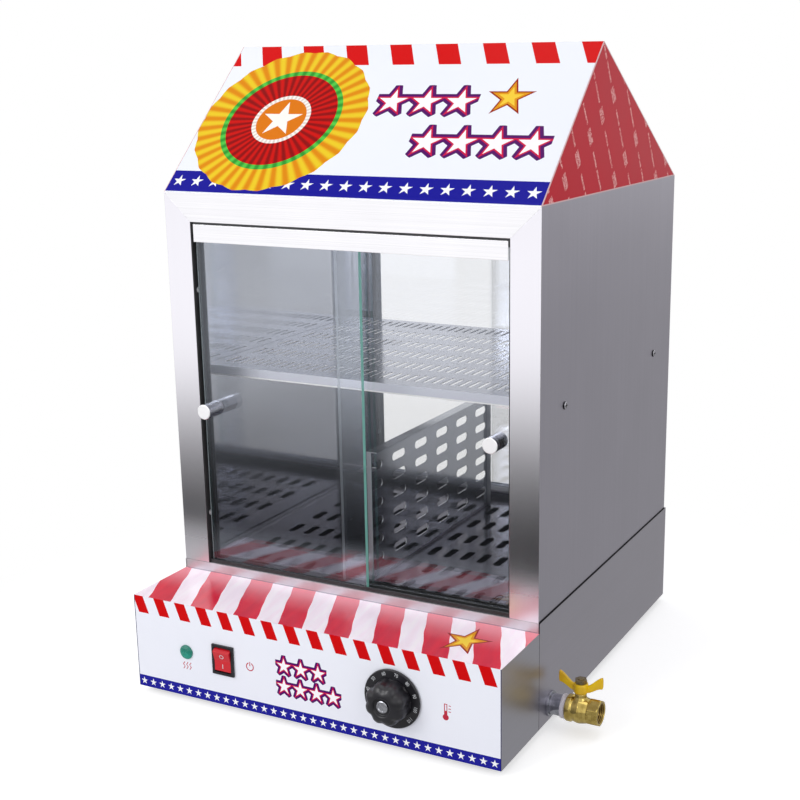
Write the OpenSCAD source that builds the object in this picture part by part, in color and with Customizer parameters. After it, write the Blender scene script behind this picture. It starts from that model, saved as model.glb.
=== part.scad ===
// Hot dog steamer. A sheet steel cabinet with sliding glass doors, front and back, stands over a
// water tank. A housing with a control box in front carries them, and a gabled sign hood covers them.
// All sizes are in millimetres. The origin is on the floor under the middle of the box that holds
// the whole part. +X points to the right of someone at the controls, +Y to the back and +Z up.

/* [Sheet and glass] */
// Thickness of every sheet steel panel
sheet_t = 0.8; // [0.6:0.1:1.2]
// Gap between a sheet that stands in the cabinet and the side panel beside it
inner_gap = 0.4; // [0.2:0.1:1]
// Thickness of the door glass
glass_t = 5; // [4:0.5:5.5]

/* [Cabinet] */
// Width over the two side panels
cab_w = 410; // [390:5:440]
// Depth from the front frame to the rear frame
cab_d = 380; // [370:5:420]
// Height from the sill to the eave
cab_h = 390; // [370:5:430]
// Width of the upright frame face beside the doors
stile_w = 30; // [24:1:36]
// Height of the frame face over the doors
rail_h = 29; // [24:1:34]
// Height of the header strip and its gap under the frame face
header_show = 20; // [14:1:26]
// Dark gap between the header strip and the frame face
header_gap = 2.5; // [1.5:0.1:3.5]

/* [Sign hood] */
// Height of the ridge over the eave
ridge_rise = 141; // [100:1:180]
// Distance of the ridge behind the front frame
ridge_back = 148; // [120:1:260]

/* [Base housing] */
// Height of the housing, without its feet
base_h = 110; // [104:1:125]
// Height of the control box in front of the cabinet
ctrl_h = 100; // [94:1:103]
// Depth of the control box in front of the cabinet
ctrl_d = 86; // [76:1:110]
// How far the housing stands out behind the cabinet
back_lap = 3.5; // [2:0.5:8]
// Gap between the housing and the side panels that drop into it
slip_gap = 0.2; // [0.1:0.1:0.5]
// Gap in the seam between the housing and the control box
seam_gap = 0.3; // [0.1:0.1:0.6]
// Depth of the sill flange that carries a lower track
sill_d = 22; // [21:1:24]
// Gap between the sill and the feet of the uprights beside the doors
stile_lift = 0.5; // [0.2:0.1:1]

/* [Feet] */
// Height of a rubber foot
foot_h = 8; // [6:1:10]
// Diameter of a rubber foot
foot_d = 30; // [24:1:34]
// Distance of a foot's centre from the sides of the housing
foot_inset = 30; // [24:1:45]
// Diameter of the screw that holds a foot
foot_screw_d = 4; // [3:0.5:5]
// Height of a foot's screw over the housing's underside
foot_screw_up = 8; // [6:0.5:12]
// Height of the nut on a foot's screw
foot_nut_h = 3.2; // [2.4:0.2:4]

/* [Door tracks] */
// Thickness of a track's walls and floor
track_wall = 1.4; // [1:0.1:1.6]
// Width of a track's groove
groove_w = 6.6; // [6:0.1:6.8]
// Height of a lower track
lower_track_h = 4; // [3.5:0.5:8]
// Height of an upper track
upper_track_h = 16; // [14:0.5:18]
// Distance of a track behind the face of its frame
track_setback = 2; // [1.8:0.1:2.4]
// Height of the upper track's lower edge over the header strip's
track_rise = 12; // [8:0.5:14]
// Thickness of the black seal on a jamb
seal_t = 1.2; // [0.8:0.1:1.6]
// Diameter of a bumper on a seal
bumper_d = 6.4; // [5:0.2:8]
// Height of the lower bumpers over the sill
bumper_up = 55; // [30:5:100]
// Distance of the upper bumpers below the eave
bumper_drop = 98; // [80:5:140]

/* [Doors] */
// How far the two doors of a pair overlap in the middle
door_overlap = 32; // [24:1:38]
// Gap between a shut door and the jamb, without its seal
door_gap = 3; // [2.6:0.1:4]
// Gap under the glass in its lower track
glass_lift = 0.3; // [0.2:0.1:0.5]
// How far the glass stands into its upper track
glass_grip = 8; // [7:0.5:9]
// Diameter of a door knob
knob_d = 15.5; // [13:0.5:18]
// Length of a door knob
knob_len = 24; // [18:1:28]
// Height of the knobs over the sill
knob_up = 171.5; // [140:0.5:190]
// Distance of the outer door's knob from its glass edge
outer_knob_inset = 16; // [14:0.5:20]
// Distance of the inner door's knob from its glass edge
inner_knob_inset = 12; // [11:0.5:16]
// Diameter of the screw that holds a knob
knob_screw_d = 5; // [4:0.5:6]
// Clearance round the knob screw in the glass
glass_hole_gap = 0.5; // [0.2:0.1:0.8]

/* [Shelf] */
// Height of the shelf's top over the sill
shelf_up = 204; // [180:1:230]
// Distance of the shelf's front edge behind the front frame
shelf_front = 48; // [30:1:60]
// Gap between the shelf and the rear frame's parts
shelf_back_gap = 22; // [21.5:0.5:30]
// Height of the shelf's folded edges
shelf_lip = 10; // [8:0.5:14]
// Width of a slot in the shelf
shelf_slot_w = 4; // [3:0.5:6]
// Spacing of the shelf's slots across the cabinet
shelf_pitch = 10; // [10:1:20]
// Diameter of a shelf screw
shelf_screw_d = 4; // [3:0.5:5]
// Distance of the front shelf screw behind the shelf's front edge
shelf_screw_front = 11.5; // [8:0.5:40]
// Distance of the rear shelf screw before the shelf's back edge
shelf_screw_rear = 36; // [8:0.5:80]

/* [Steam tray and divider] */
// Depth of the tray's top below the sill
tray_drop = 8; // [7:0.5:12]
// Distance of the tray's front edge behind the front frame
tray_front = 23.5; // [23:0.5:28]
// Height of the tray's locating flanges
tray_flange = 6; // [4:0.5:10]
// Width of a steam slot
slot_w = 9; // [6:0.5:11]
// Length of a steam slot
slot_len = 28; // [20:1:34]
// Spacing of the steam slots across their length
slot_pitch = 20; // [16:1:24]
// Spacing of the steam slots along their length
slot_step = 50; // [42:1:56]
// Distance of the first row of slots behind the front frame
slot_start = 54; // [48:1:60]
// Distance of the first column of slots to the right of the middle
slot_offset = 15.5; // [10:0.5:16]
// Height of the divider
divider_h = 142; // [110:1:150]
// Distance of the divider's front end behind the tray's front edge
divider_front = 14.5; // [10:0.5:24]
// Distance of the divider's back end before the tray's back edge
divider_back = 6.5; // [4:0.5:14]
// Width of the divider's top fold
divider_fold = 12; // [8:1:16]
// Width of the divider's end folds
divider_end_fold = 5; // [4:0.5:8]

/* [Water tank] */
// Distance of the tank's sides from the outside of the side panels
tank_gap = 15; // [13:1:25]
// Depth of the tank from front to back
tank_d = 311.5; // [290:0.5:318]
// Distance of the tank behind the front frame
tank_front = 12; // [10:1:14]
// Height of the tank's floor over the housing's underside
tank_lift = 5; // [4:0.5:7]
// Inside corner radius of the tank
tank_r = 4; // [2:0.5:5]
// Distance of the deck's opening inside the tank's walls
deck_inset = 0.2; // [0.2:0.1:2]
// Width of the ledge that the tray rests on
ledge_w = 7; // [5:0.5:9]
// Clearance round the tray's locating flanges
tray_gap = 0.7; // [0.4:0.1:1.5]

/* [Heater] */
// Diameter of the heater tube
heater_d = 8; // [6:0.5:10]
// Distance between the heater's two legs
heater_gap = 120; // [80:5:160]
// Height of the heater over the tank's floor
heater_up = 18; // [14:1:24]
// Length of the heater's straight legs in the tank
heater_leg = 225; // [150:5:230]
// Diameter of the heater's threaded ends
heater_end_d = 12; // [10:0.5:14]

/* [Controls] */
// Height of the controls' centres over the housing's underside
ctrl_up = 49; // [46:0.5:54]
// Distance of the pilot lamp from the middle
lamp_x = -142.8; // [-165:0.1:-130]
// Diameter of the pilot lamp's lens
lamp_d = 14.9; // [12:0.1:18]
// Diameter of the pilot lamp's barrel
lamp_barrel_d = 12; // [9:0.5:13]
// Distance of the power switch from the middle
switch_x = -97.5; // [-110:0.5:-60]
// Width of the power switch's bezel
bezel_w = 25.5; // [24:0.5:28]
// Height of the power switch's bezel
bezel_h = 31.5; // [30:0.5:34]
// How far the bezel stands out from the panel
bezel_t = 2; // [1.5:0.1:3]
// Angle between the rocker's two settings
rocker_swing = 16; // [12:1:18]
// Distance of the thermostat's axis from the middle
dial_x = 95; // [80:0.5:130]
// Diameter of the thermostat's dial
dial_d = 59; // [50:1:64]
// Diameter of the thermostat's knob at its base
grip_d = 43; // [38:1:46]
// Length of the thermostat's knob in front of its dial
grip_len = 20; // [14:1:26]
// Depth of the finger hollows round the thermostat's knob
flute_depth = 1.8; // [1:0.1:2.4]
// Diameter of the thermostat's shaft
shaft_d = 6; // [5:0.5:7]
// Radial clearance of the thermostat's shaft in its body
shaft_gap = 0.05; // [0.02:0.01:0.08]
// Depth of the thermostat's body behind the panel
thermostat_depth = 32; // [28:1:36]
// Length of the thermostat's bulb in the tank
bulb_len = 90; // [60:5:120]

/* [Wiring] */
// Depth of the power switch behind the panel
switch_depth = 26; // [24:1:28]
// Depth of the pilot lamp behind the panel
lamp_depth = 24; // [18:1:28]
// Length of a terminal blade
blade_len = 8; // [6:0.5:9]
// Width of the terminal block
block_w = 42; // [36:1:60]
// Depth of the terminal block
block_d = 18; // [16:1:20]
// Height of the terminal block
block_h = 16; // [14:1:20]
// Distance of the terminal block to the left of the middle
block_x = 10; // [0:1:30]
// Distance of the terminal block in front of the cabinet
block_y = 40; // [30:1:44]
// Diameter of an insulated lead
lead_d = 2.4; // [1.6:0.1:3]

/* [Drain valve] */
// Distance of the drain behind the front frame
drain_back = 28; // [26:1:36]
// Height of the drain over the housing's underside
drain_up = 16.5; // [16:0.5:20]
// Outside diameter of the drain nipple
nipple_d = 20.9; // [20:0.1:21.2]
// Bore of the drain nipple
nipple_bore = 16; // [14:0.5:17]
// Distance of the valve body from the side of the housing
valve_out = 19; // [16:0.5:22]
// Length of the valve body without its end piece
valve_len = 23; // [22:0.5:28]
// Distance of the valve's stem from the inner end of its body
stem_back = 13; // [13:0.5:15]
// Outside diameter of the valve body
valve_d = 27; // [26:0.5:29]
// Bore of the valve's threaded outlet
outlet_bore = 18.6; // [17:0.1:19]
// Length of the valve's threaded outlet
outlet_len = 10; // [8:0.5:10]
// Diameter of the ball in the valve
ball_d = 15; // [13:0.5:15.5]
// Diameter of the port through the ball
ball_port = 10; // [7:0.5:10]
// Diameter of the valve's stem
stem_d = 6.5; // [5:0.5:7]
// Radial clearance of the valve's stem
stem_gap = 0.05; // [0.02:0.01:0.08]
// Thickness of the flange round the nipple
flange_t = 2.5; // [1:0.1:3]
// How far the flange stands out round the nipple
flange_lip = 2.3; // [1.5:0.1:5]
// Width of the thread tape's turns
tape_w = 5.5; // [3:0.5:7]
// Thickness of the thread tape's turns
tape_t = 1.5; // [0.5:0.1:1.7]
// Width of the valve's hexagonal end across its flats
hex_flats = 24; // [23:0.5:26]
// Length of the valve's hexagonal end
hex_len = 11; // [11:0.5:14]
// Width over the tips of the valve's handle
handle_w = 45; // [40:1:52]
// Height of the handle's hub
hub_h = 10; // [8:0.5:10.5]
// Thickness of the handle's wings
wing_t = 3; // [2:0.5:4]

/* [Cord gland] */
// Distance of the cord gland to the left of the middle
gland_x = 150; // [120:5:165]
// Height of the cord gland over the housing's underside
gland_up = 32; // [26:1:44]
// Diameter of the hole for the cord
cord_d = 8.4; // [7:0.1:10]
// Length of the cord gland behind the housing
gland_len = 14; // [10:1:20]

/* [Hidden] */
$fn = 48;

t = sheet_t;
half_w = cab_w / 2;
base_half = half_w + slip_gap + t;
back_y = cab_d + back_lap;
base_z = foot_h;
ctrl_top = foot_h + ctrl_h;
sill_z = foot_h + base_h;
eave_z = sill_z + cab_h;
stile_z = sill_z + stile_lift;
open_half = half_w - stile_w;
rail_z = eave_z - rail_h;
header_z = rail_z - header_show;

// Tracks: three walls and two grooves
track_d = 3 * track_wall + 2 * groove_w;
track_half = open_half - seal_t - 0.2;
outer_groove_y = track_setback + track_wall + groove_w / 2;
inner_groove_y = outer_groove_y + track_wall + groove_w;
jamb_d = track_setback + track_d + t;
upper_track_z = header_z + track_rise;
track_top_z = upper_track_z + upper_track_h;

// Doors
door_w = open_half - door_gap + door_overlap / 2;
glass_z0 = sill_z + track_wall + glass_lift;
glass_h = upper_track_z + glass_grip - glass_z0;
knob_z = sill_z + knob_up;
glass_hole_r = knob_screw_d / 2 + glass_hole_gap;
outer_x0 = -open_half + door_gap;
inner_x0 = open_half - door_gap - door_w;

// The deck: tray on tank rim on the side panels' feet on the support rails
tray_z = sill_z - tray_drop;
rim_z = tray_z - t;
panel_foot_z = rim_z - t;
support_z = panel_foot_z - t;
shelf_z = sill_z + shelf_up;
shelf_y0 = shelf_front;
shelf_y1 = cab_d - shelf_back_gap;
shelf_half = half_w - t - inner_gap;
shelf_screw_z = shelf_z - shelf_lip / 2 - 0.5;
shelf_screw_places = [shelf_y0 + shelf_screw_front, shelf_y1 - shelf_screw_rear];

// Tank
tank_w = cab_w - 2 * tank_gap;
tank_half = tank_w / 2;
tank_floor_z = base_z + tank_lift;
tank_back = tank_front + tank_d;
deck_half = tank_half - t - deck_inset;
deck_front = tray_front + ledge_w;
deck_back = tank_back - t - deck_inset;
tray_half = deck_half + ledge_w;
tray_back = deck_back + ledge_w;

// Controls
ctrl_z = base_z + ctrl_up;
panel_y = -ctrl_d;
rocker_pivot = 4;
rocker_r = 12.9;
rocker_half = 9.6;
switch_wall = 1.1;
grip_y = panel_y - 1.2 - 1.8;

// Drain valve
drain_z = base_z + drain_up;
valve_x = base_half + valve_out;
stem_x = valve_x + stem_back;
ball_room = ball_d / 2 + 0.5;
socket_len = stem_back - ball_room - 0.5;
end_x = valve_x + valve_len;
boss_top = 17.7;
packing_top = boss_top + 0.3;

// The box that holds the whole part has its middle over the origin
part_x1 = max(end_x + hex_len, stem_x + handle_w / 2);
part_y0 = grip_y - grip_len;
part_y1 = max(back_y + gland_len, cab_d - outer_groove_y + glass_t / 2 + knob_len);
cab_x = -(part_x1 - base_half) / 2;
cab_y = -(part_y0 + part_y1) / 2;

function mid(a, b) = (a + b) / 2;

// Places children drawn with X from the cabinet's middle and Y from its front frame
module in_cabinet() {
    translate([cab_x, cab_y, 0]) children();
}

// Draws its children at the front and again, turned half round, at the rear
module front_and_rear() {
    in_cabinet() children();
    turned_to_rear() children();
}

module turned_to_rear() {
    in_cabinet() translate([0, cab_d, 0]) rotate([0, 0, 180]) children();
}

// A box from its lowest to its highest corner
module block(a, b) {
    translate(a) cube([b[0] - a[0], b[1] - a[1], b[2] - a[2]]);
}

// Extrudes an outline drawn in Y and Z along X, from x0 to x1
module along_x(x0, x1) {
    translate([x0, 0, 0]) rotate([90, 0, 90]) linear_extrude(x1 - x0) children();
}

// Extrudes an outline drawn in X and Z along Y, from y0 to y1
module along_y(y0, y1) {
    translate([0, y1, 0]) rotate([90, 0, 0]) linear_extrude(y1 - y0) children();
}

// A round bar along X, Y or Z between two stations
module bar_x(x0, x1, y, z, r) {
    translate([x0, y, z]) rotate([0, 90, 0]) cylinder(h = x1 - x0, r = r);
}

module bar_y(y0, y1, x, z, r) {
    translate([x, y0, z]) rotate([-90, 0, 0]) cylinder(h = y1 - y0, r = r);
}

module bar_z(z0, z1, x, y, r) {
    translate([x, y, z0]) cylinder(h = z1 - z0, r = r);
}

// A hexagon, as a nut's outline, from its width across flats
module hexagon(flats) {
    circle(r = flats / sqrt(3), $fn = 6);
}

module round_rect(w, d, r) {
    square([w - 2 * r, d], center = true);
    square([w, d - 2 * r], center = true);
    for (x = [-1, 1], y = [-1, 1])
        translate([x * (w / 2 - r), y * (d / 2 - r)]) circle(r = r);
}

// A slot with round ends, its length along the second axis
module slot_shape(w, len) {
    square([w, len - w], center = true);
    for (s = [-1, 1]) translate([0, s * (len - w) / 2]) circle(r = w / 2, $fn = 24);
}

// Sheet steel housing

module control_box() {
    color("white") in_cabinet() difference() {
        union() {
            along_x(-base_half, base_half) polygon([
                [panel_y, base_z], [panel_y, ctrl_top], [0, ctrl_top], [0, ctrl_top - t],
                [panel_y + t, ctrl_top - t], [panel_y + t, base_z]
            ]);
            for (s = [-1, 1]) {
                x = s * (base_half - t / 2);
                block([x - t / 2, panel_y, base_z], [x + t / 2, 0, ctrl_top]);
            }
            riser_half = half_w - t - slip_gap;
            along_x(-riser_half, riser_half) polygon([
                [0, ctrl_top - t], [0, sill_z], [sill_d, sill_z], [sill_d, sill_z - t],
                [t, sill_z - t], [t, ctrl_top - t]
            ]);
        }
        bar_y(panel_y - 1, panel_y + 2, lamp_x, ctrl_z, lamp_barrel_d / 2 + 0.1);
        bar_y(panel_y - 1, panel_y + 2, dial_x, ctrl_z, shaft_d / 2 + 2);
        cut_w = 2 * (rocker_half + switch_wall) + 0.4;
        cut_h = 2 * (rocker_r + switch_wall) + 0.4;
        translate([switch_x - cut_w / 2, panel_y - 1, ctrl_z - cut_h / 2]) cube([cut_w, 3, cut_h]);
        for (s = [-1, 1]) bar_y(panel_y - 1, panel_y + 2, dial_x + s * 14, ctrl_z, 1.6);
    }
}

module base_housing() {
    color("silver") in_cabinet() difference() {
        union() {
            for (s = [-1, 1]) {
                x = s * (base_half - t / 2);
                block([x - t / 2, seam_gap, base_z], [x + t / 2, back_y, sill_z]);
            }
            block([-base_half, back_y - t, base_z], [base_half, back_y, sill_z]);
            sill_half = half_w - t - slip_gap;
            block([-sill_half, cab_d - sill_d, sill_z - t], [sill_half, back_y, sill_z]);
        }
        bar_x(base_half - 2, base_half + 1, drain_back, drain_z, nipple_d / 2 + 0.6);
        bar_y(back_y - 2, back_y + 1, -gland_x, base_z + gland_up, cord_d / 2 + 4.1);
    }
}

module bottom_plate() {
    x1 = base_half - t - 0.1;
    color("silver") in_cabinet() difference() {
        block([-x1, panel_y + t + 0.1, base_z], [x1, back_y - t - 0.1, base_z + t]);
        foot_places() bar_z(base_z - 1, base_z + 2, 0, 0, foot_screw_d / 2 + 0.1);
    }
}

module support_rails() {
    x1 = base_half - t;
    leg = 12;
    color("silver") in_cabinet() for (s = [0, 1]) mirror([s, 0, 0])
        along_y(20, cab_d - 20) polygon([
            [x1, support_z - leg], [x1, support_z], [x1 - leg + 2, support_z],
            [x1 - leg + 2, support_z - t], [x1 - t, support_z - t], [x1 - t, support_z - leg]
        ]);
}

module foot_places() {
    for (x = [-1, 1], y = [panel_y + foot_inset, back_y - foot_inset])
        translate([x * (base_half - foot_inset), y, 0]) children();
}

module feet() {
    r = foot_d / 2;
    hole = foot_screw_d / 2 + 0.1;
    recess = foot_screw_d + 0.6;
    color("black") in_cabinet() foot_places() rotate_extrude() polygon([
        [recess, 0], [r - 2.5, 0], [r - 2, 0.5], [r, foot_h], [hole, foot_h],
        [hole, foot_h / 2], [recess, foot_h / 2]
    ]);
}

module foot_screws() {
    r = foot_screw_d / 2;
    head = 2.4;
    color("silver") in_cabinet() foot_places() {
        rotate_extrude() polygon([
            [0, foot_h / 2 - head], [r + 1.8, foot_h / 2 - head + 0.6], [r + 1.8, foot_h / 2],
            [r, foot_h / 2], [r, base_z + foot_screw_up], [0, base_z + foot_screw_up]
        ]);
        translate([0, 0, base_z + t]) linear_extrude(foot_nut_h) difference() {
            hexagon(3.5 * r);
            circle(r = r + 0.02);
        }
    }
}

// Tank, heater and what stands in the control box

module water_tank() {
    cy = mid(tank_front, tank_back);
    deck_y = mid(deck_front, deck_back);
    color("gainsboro") in_cabinet() difference() {
        union() {
            translate([0, cy, tank_floor_z]) linear_extrude(rim_z - t / 2 - tank_floor_z)
                round_rect(tank_w, tank_d, tank_r + t);
            x1 = half_w - t - inner_gap;
            block([-x1, 3, rim_z - t], [x1, cab_d - 3, rim_z]);
        }
        translate([0, cy, tank_floor_z + t]) linear_extrude(rim_z - t - tank_floor_z - t)
            round_rect(tank_w - 2 * t, tank_d - 2 * t, tank_r);
        translate([0, deck_y, rim_z - 2 * t]) linear_extrude(3 * t)
            round_rect(2 * deck_half, deck_back - deck_front, tank_r);
        bar_x(tank_half - 3, tank_half + 1, drain_back, drain_z, nipple_d / 2 + 0.02);
        for (s = [-1, 1])
            bar_y(tank_front - 1, tank_front + 3, s * heater_gap / 2, heater_z(), heater_end_d / 2 + 0.1);
        bar_y(tank_front - 1, tank_front + 3, bulb_x(), ctrl_z, 5.1);
    }
}

function heater_z() = tank_floor_z + t + heater_up;
function bulb_x() = dial_x + 12;

module heating_element() {
    r = heater_d / 2;
    leg_y = tank_front + t + 12;
    bend_y = leg_y + heater_leg;
    color("dimgray") in_cabinet() {
        for (s = [-1, 1]) {
            x = s * heater_gap / 2;
            bar_y(leg_y - 0.5, bend_y, x, heater_z(), r);
            bar_y(tank_front - 12, leg_y, x, heater_z(), heater_end_d / 2);
            bar_y(tank_front + t + 0.1, tank_front + t + 4, x, heater_z(), heater_end_d / 2 + 4);
            bar_y(tank_front - 24, tank_front - 11, x, heater_z(), 2);
        }
        translate([0, bend_y, heater_z()]) rotate_extrude(angle = 180)
            translate([heater_gap / 2, 0]) circle(r = r);
    }
}

module heater_nuts() {
    color("goldenrod") in_cabinet() for (s = [-1, 1])
        translate([s * heater_gap / 2, tank_front - 0.1, heater_z()]) rotate([90, 0, 0])
            linear_extrude(5) difference() {
                hexagon(heater_end_d + 7);
                circle(r = heater_end_d / 2 + 0.02);
            }
}

module thermostat_body() {
    back = panel_y + t + thermostat_depth;
    color("dimgray") in_cabinet() difference() {
        union() {
            block([dial_x - 20, panel_y + t, ctrl_z - 17], [dial_x + 20, back, ctrl_z + 17]);
            bar_y(panel_y + 0.1, panel_y + t + 1, dial_x, ctrl_z, shaft_d / 2 + 1.8);
            for (s = [-1, 1])
                translate([dial_x - 5.6 + s * 9, 0, ctrl_z]) block([-0.4, back, -3], [0.4, back + blade_len, 3]);
        }
        bar_y(panel_y - 1, panel_y + t + 10, dial_x, ctrl_z, shaft_d / 2 + shaft_gap);
    }
}

module thermostat_shaft() {
    color("silver") in_cabinet()
        bar_y(grip_y - 12, panel_y + t + 9.5, dial_x, ctrl_z, shaft_d / 2);
}

module dial_skirt() {
    r = dial_d / 2;
    color("black") in_cabinet() translate([dial_x, panel_y - 1.2, ctrl_z]) rotate([90, 0, 0])
        rotate_extrude() polygon([
            [shaft_d / 2 + 0.02, 0], [r, 0], [r, 1], [r - 0.8, 1.8], [shaft_d / 2 + 0.02, 1.8]
        ]);
}

// The grip has a crowned nose that holds the cap, and round bars scoop hollows from its side
module thermostat_knob() {
    r = grip_d / 2;
    flutes = 8;
    scoop_r = 16;
    color("black") in_cabinet() translate([dial_x, grip_y, ctrl_z]) rotate([90, 0, 0]) difference() {
        rotate_extrude() polygon([
            [shaft_d / 2 + 0.02, 0], [r - 0.5, 0], [r, 1], [r - 0.3, grip_len - 7.5],
            [r - 2.2, grip_len - 3.2], [r - 5.5, grip_len - 0.9], [9.5, grip_len], [8.5, grip_len - 2.5],
            [6.1, grip_len - 2.5], [6.1, grip_len - 4], [shaft_d / 2 + 0.02, grip_len - 4]
        ]);
        for (i = [0:flutes - 1]) rotate([0, 0, (i + 0.5) * 360 / flutes])
            translate([r - flute_depth + scoop_r, 0, 1.2]) cylinder(h = grip_len, r = scoop_r, $fn = 96);
    }
}

module knob_cap() {
    color("silver") in_cabinet() translate([dial_x, grip_y, ctrl_z]) rotate([90, 0, 0])
        rotate_extrude() polygon([
            [0, grip_len - 4], [6.05, grip_len - 4], [6.05, grip_len - 1.6], [5.4, grip_len - 1.2],
            [4.2, grip_len - 1.2], [3.8, grip_len - 1.8], [0, grip_len - 1.8]
        ]);
}

module thermostat_bulb() {
    back = panel_y + t + thermostat_depth;
    color("peru") in_cabinet() {
        bar_y(back, tank_front + 20, bulb_x(), ctrl_z, 1);
        bar_y(tank_front + 19, tank_front + 20 + bulb_len, bulb_x(), ctrl_z, 3);
    }
}

module bulb_gland() {
    color("goldenrod") in_cabinet() difference() {
        union() {
            bar_y(tank_front - 8, tank_front + 6, bulb_x(), ctrl_z, 5);
            bar_y(tank_front + t + 0.1, tank_front + 3.5, bulb_x(), ctrl_z, 8);
            translate([bulb_x(), tank_front - 0.1, ctrl_z]) rotate([90, 0, 0])
                linear_extrude(4) hexagon(15);
        }
        bar_y(tank_front - 10, tank_front + 8, bulb_x(), ctrl_z, 1.05);
    }
}

module lamp_body() {
    color("black") in_cabinet() {
        back = panel_y + lamp_depth;
        bar_y(panel_y + 0.1, back, lamp_x, ctrl_z, lamp_barrel_d / 2);
        bar_y(panel_y + t + 0.1, panel_y + t + 3, lamp_x, ctrl_z, lamp_barrel_d / 2 + 2.5);
        for (s = [-1, 1])
            translate([lamp_x + s * 3, 0, ctrl_z]) block([-0.4, back - 1, -2], [0.4, back + blade_len, 2]);
    }
}

module lamp_lens() {
    r = lamp_d / 2;
    color("seagreen") in_cabinet() translate([lamp_x, panel_y, ctrl_z]) rotate([90, 0, 0])
        rotate_extrude() polygon([
            [0, 0.02], [r, 0.02], [r, 1.2], [r - 0.8, 2], [r - 3, 2.9], [0, 3.3]
        ]);
}

// The rocker rocks on two pins in the housing's side walls
module switch_housing() {
    w = rocker_half + switch_wall;
    h = rocker_r + switch_wall;
    py = panel_y + rocker_pivot;
    back = panel_y + switch_depth;
    color("black") in_cabinet() translate([switch_x, 0, ctrl_z]) difference() {
        union() {
            block([-bezel_w / 2, panel_y - bezel_t, -bezel_h / 2], [bezel_w / 2, panel_y - 0.02, bezel_h / 2]);
            block([-w, panel_y - 1, -h], [w, back, h]);
            for (x = [-5, 5], z = [-7, 7])
                block([x - 0.4, back - 1, z - 3.1], [x + 0.4, back + blade_len, z + 3.1]);
        }
        block([-rocker_half - 0.1, panel_y - 5, -rocker_r - 0.3],
            [rocker_half + 0.1, panel_y + 18, rocker_r + 0.3]);
        bar_x(-w + 0.3, w - 0.3, py, 0, 1.55);
    }
}

// Its lower half is pressed in at rest, so it is drawn tipped back by half its swing
module switch_rocker() {
    py = panel_y + rocker_pivot;
    end_out = rocker_pivot + bezel_t + 1.5;
    color("red") in_cabinet() translate([switch_x, py, ctrl_z]) rotate([rocker_swing / 2, 0, 0]) {
        intersection() {
            bar_x(-rocker_half, rocker_half, 0, 0, rocker_r);
            along_x(-rocker_half, rocker_half) polygon([
                [3, -4], [-1, -14], [-end_out - 1, -14], [-end_out, -rocker_r + 2], [-end_out + 1.6, 0],
                [-end_out, rocker_r - 2], [-end_out - 1, 14], [-1, 14], [3, 4]
            ]);
        }
        bar_x(-rocker_half - 0.7, rocker_half + 0.7, 0, 0, 1.5);
    }
}

module terminal_block() {
    z0 = base_z + t;
    color("ivory") in_cabinet() difference() {
        block([-block_x, -block_y, z0], [block_w - block_x, block_d - block_y, z0 + block_h]);
        for (i = [-1:1])
            bar_y(-block_y - 1, block_d - block_y + 1, block_w / 2 - block_x + 13 * i, z0 + block_h / 2, 2.5);
    }
}

// Two insulated leads from the switch and the lamp to the terminal block, with round corners
module wiring_loom() {
    far = mid(-block_y, block_d - block_y);
    near = far + 2.5 * lead_d;
    low = base_z + t + 2 * lead_d;
    high = low + 2.5 * lead_d;
    from_switch = [switch_x - 5, panel_y + switch_depth + blade_len, ctrl_z - 7];
    from_lamp = [lamp_x + 3, panel_y + lamp_depth + blade_len, ctrl_z];
    color("firebrick") in_cabinet() {
        lead([
            from_switch, [from_switch[0], far, from_switch[2]], [from_switch[0], far, low],
            [-block_x, far, low]
        ]);
        lead([
            from_lamp, [from_lamp[0], near, from_lamp[2]], [from_lamp[0], near, high],
            [-block_x, near, high]
        ]);
    }
}

module lead(points) {
    r = lead_d / 2;
    for (i = [0:len(points) - 2]) {
        v = points[i + 1] - points[i];
        translate(points[i]) rotate([0, acos(v[2] / norm(v)), atan2(v[1], v[0])])
            cylinder(h = norm(v), r = r);
    }
    for (i = [1:len(points) - 2]) translate(points[i]) sphere(r = r);
}

// Cabinet

// A side panel folds round into the two stiles and their jambs, and into a foot on the rail
module side_panel() {
    x1 = half_w;
    difference() {
        union() {
            block([x1 - t, 0, panel_foot_z - t], [x1, cab_d, eave_z]);
            block([x1 - 8, 25, panel_foot_z - t], [x1, cab_d - 25, panel_foot_z]);
            for (s = [0, 1]) translate([0, cab_d / 2, 0]) mirror([0, s, 0]) translate([0, -cab_d / 2, 0]) {
                along_y(0, t) polygon([
                    [x1, stile_z], [x1, eave_z], [open_half, rail_z], [open_half, stile_z]
                ]);
                block([open_half, 0, stile_z], [open_half + t, jamb_d, rail_z]);
            }
        }
        for (y = shelf_screw_places)
            bar_x(x1 - 2, x1 + 1, y, shelf_screw_z, shelf_screw_d / 2 + 0.1);
    }
}

module left_side_panel() {
    color("silver") in_cabinet() mirror([1, 0, 0]) side_panel();
}

module right_side_panel() {
    color("silver") in_cabinet() side_panel();
}

// The face over a pair of doors, mitred into the stiles, with a fold under the ceiling
module top_rails() {
    gap = 0.1;
    end = half_w - t - gap;
    end_z = eave_z - (half_w - end) * rail_h / stile_w - gap;
    color("silver") front_and_rear() {
        along_y(0, t) polygon([
            [-end, eave_z], [end, eave_z], [end, end_z], [open_half - gap, rail_z],
            [-open_half + gap, rail_z], [-end, end_z]
        ]);
        block([-half_w + t + inner_gap, t / 2, eave_z - t], [half_w - t - inner_gap, 20, eave_z]);
    }
}

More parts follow.
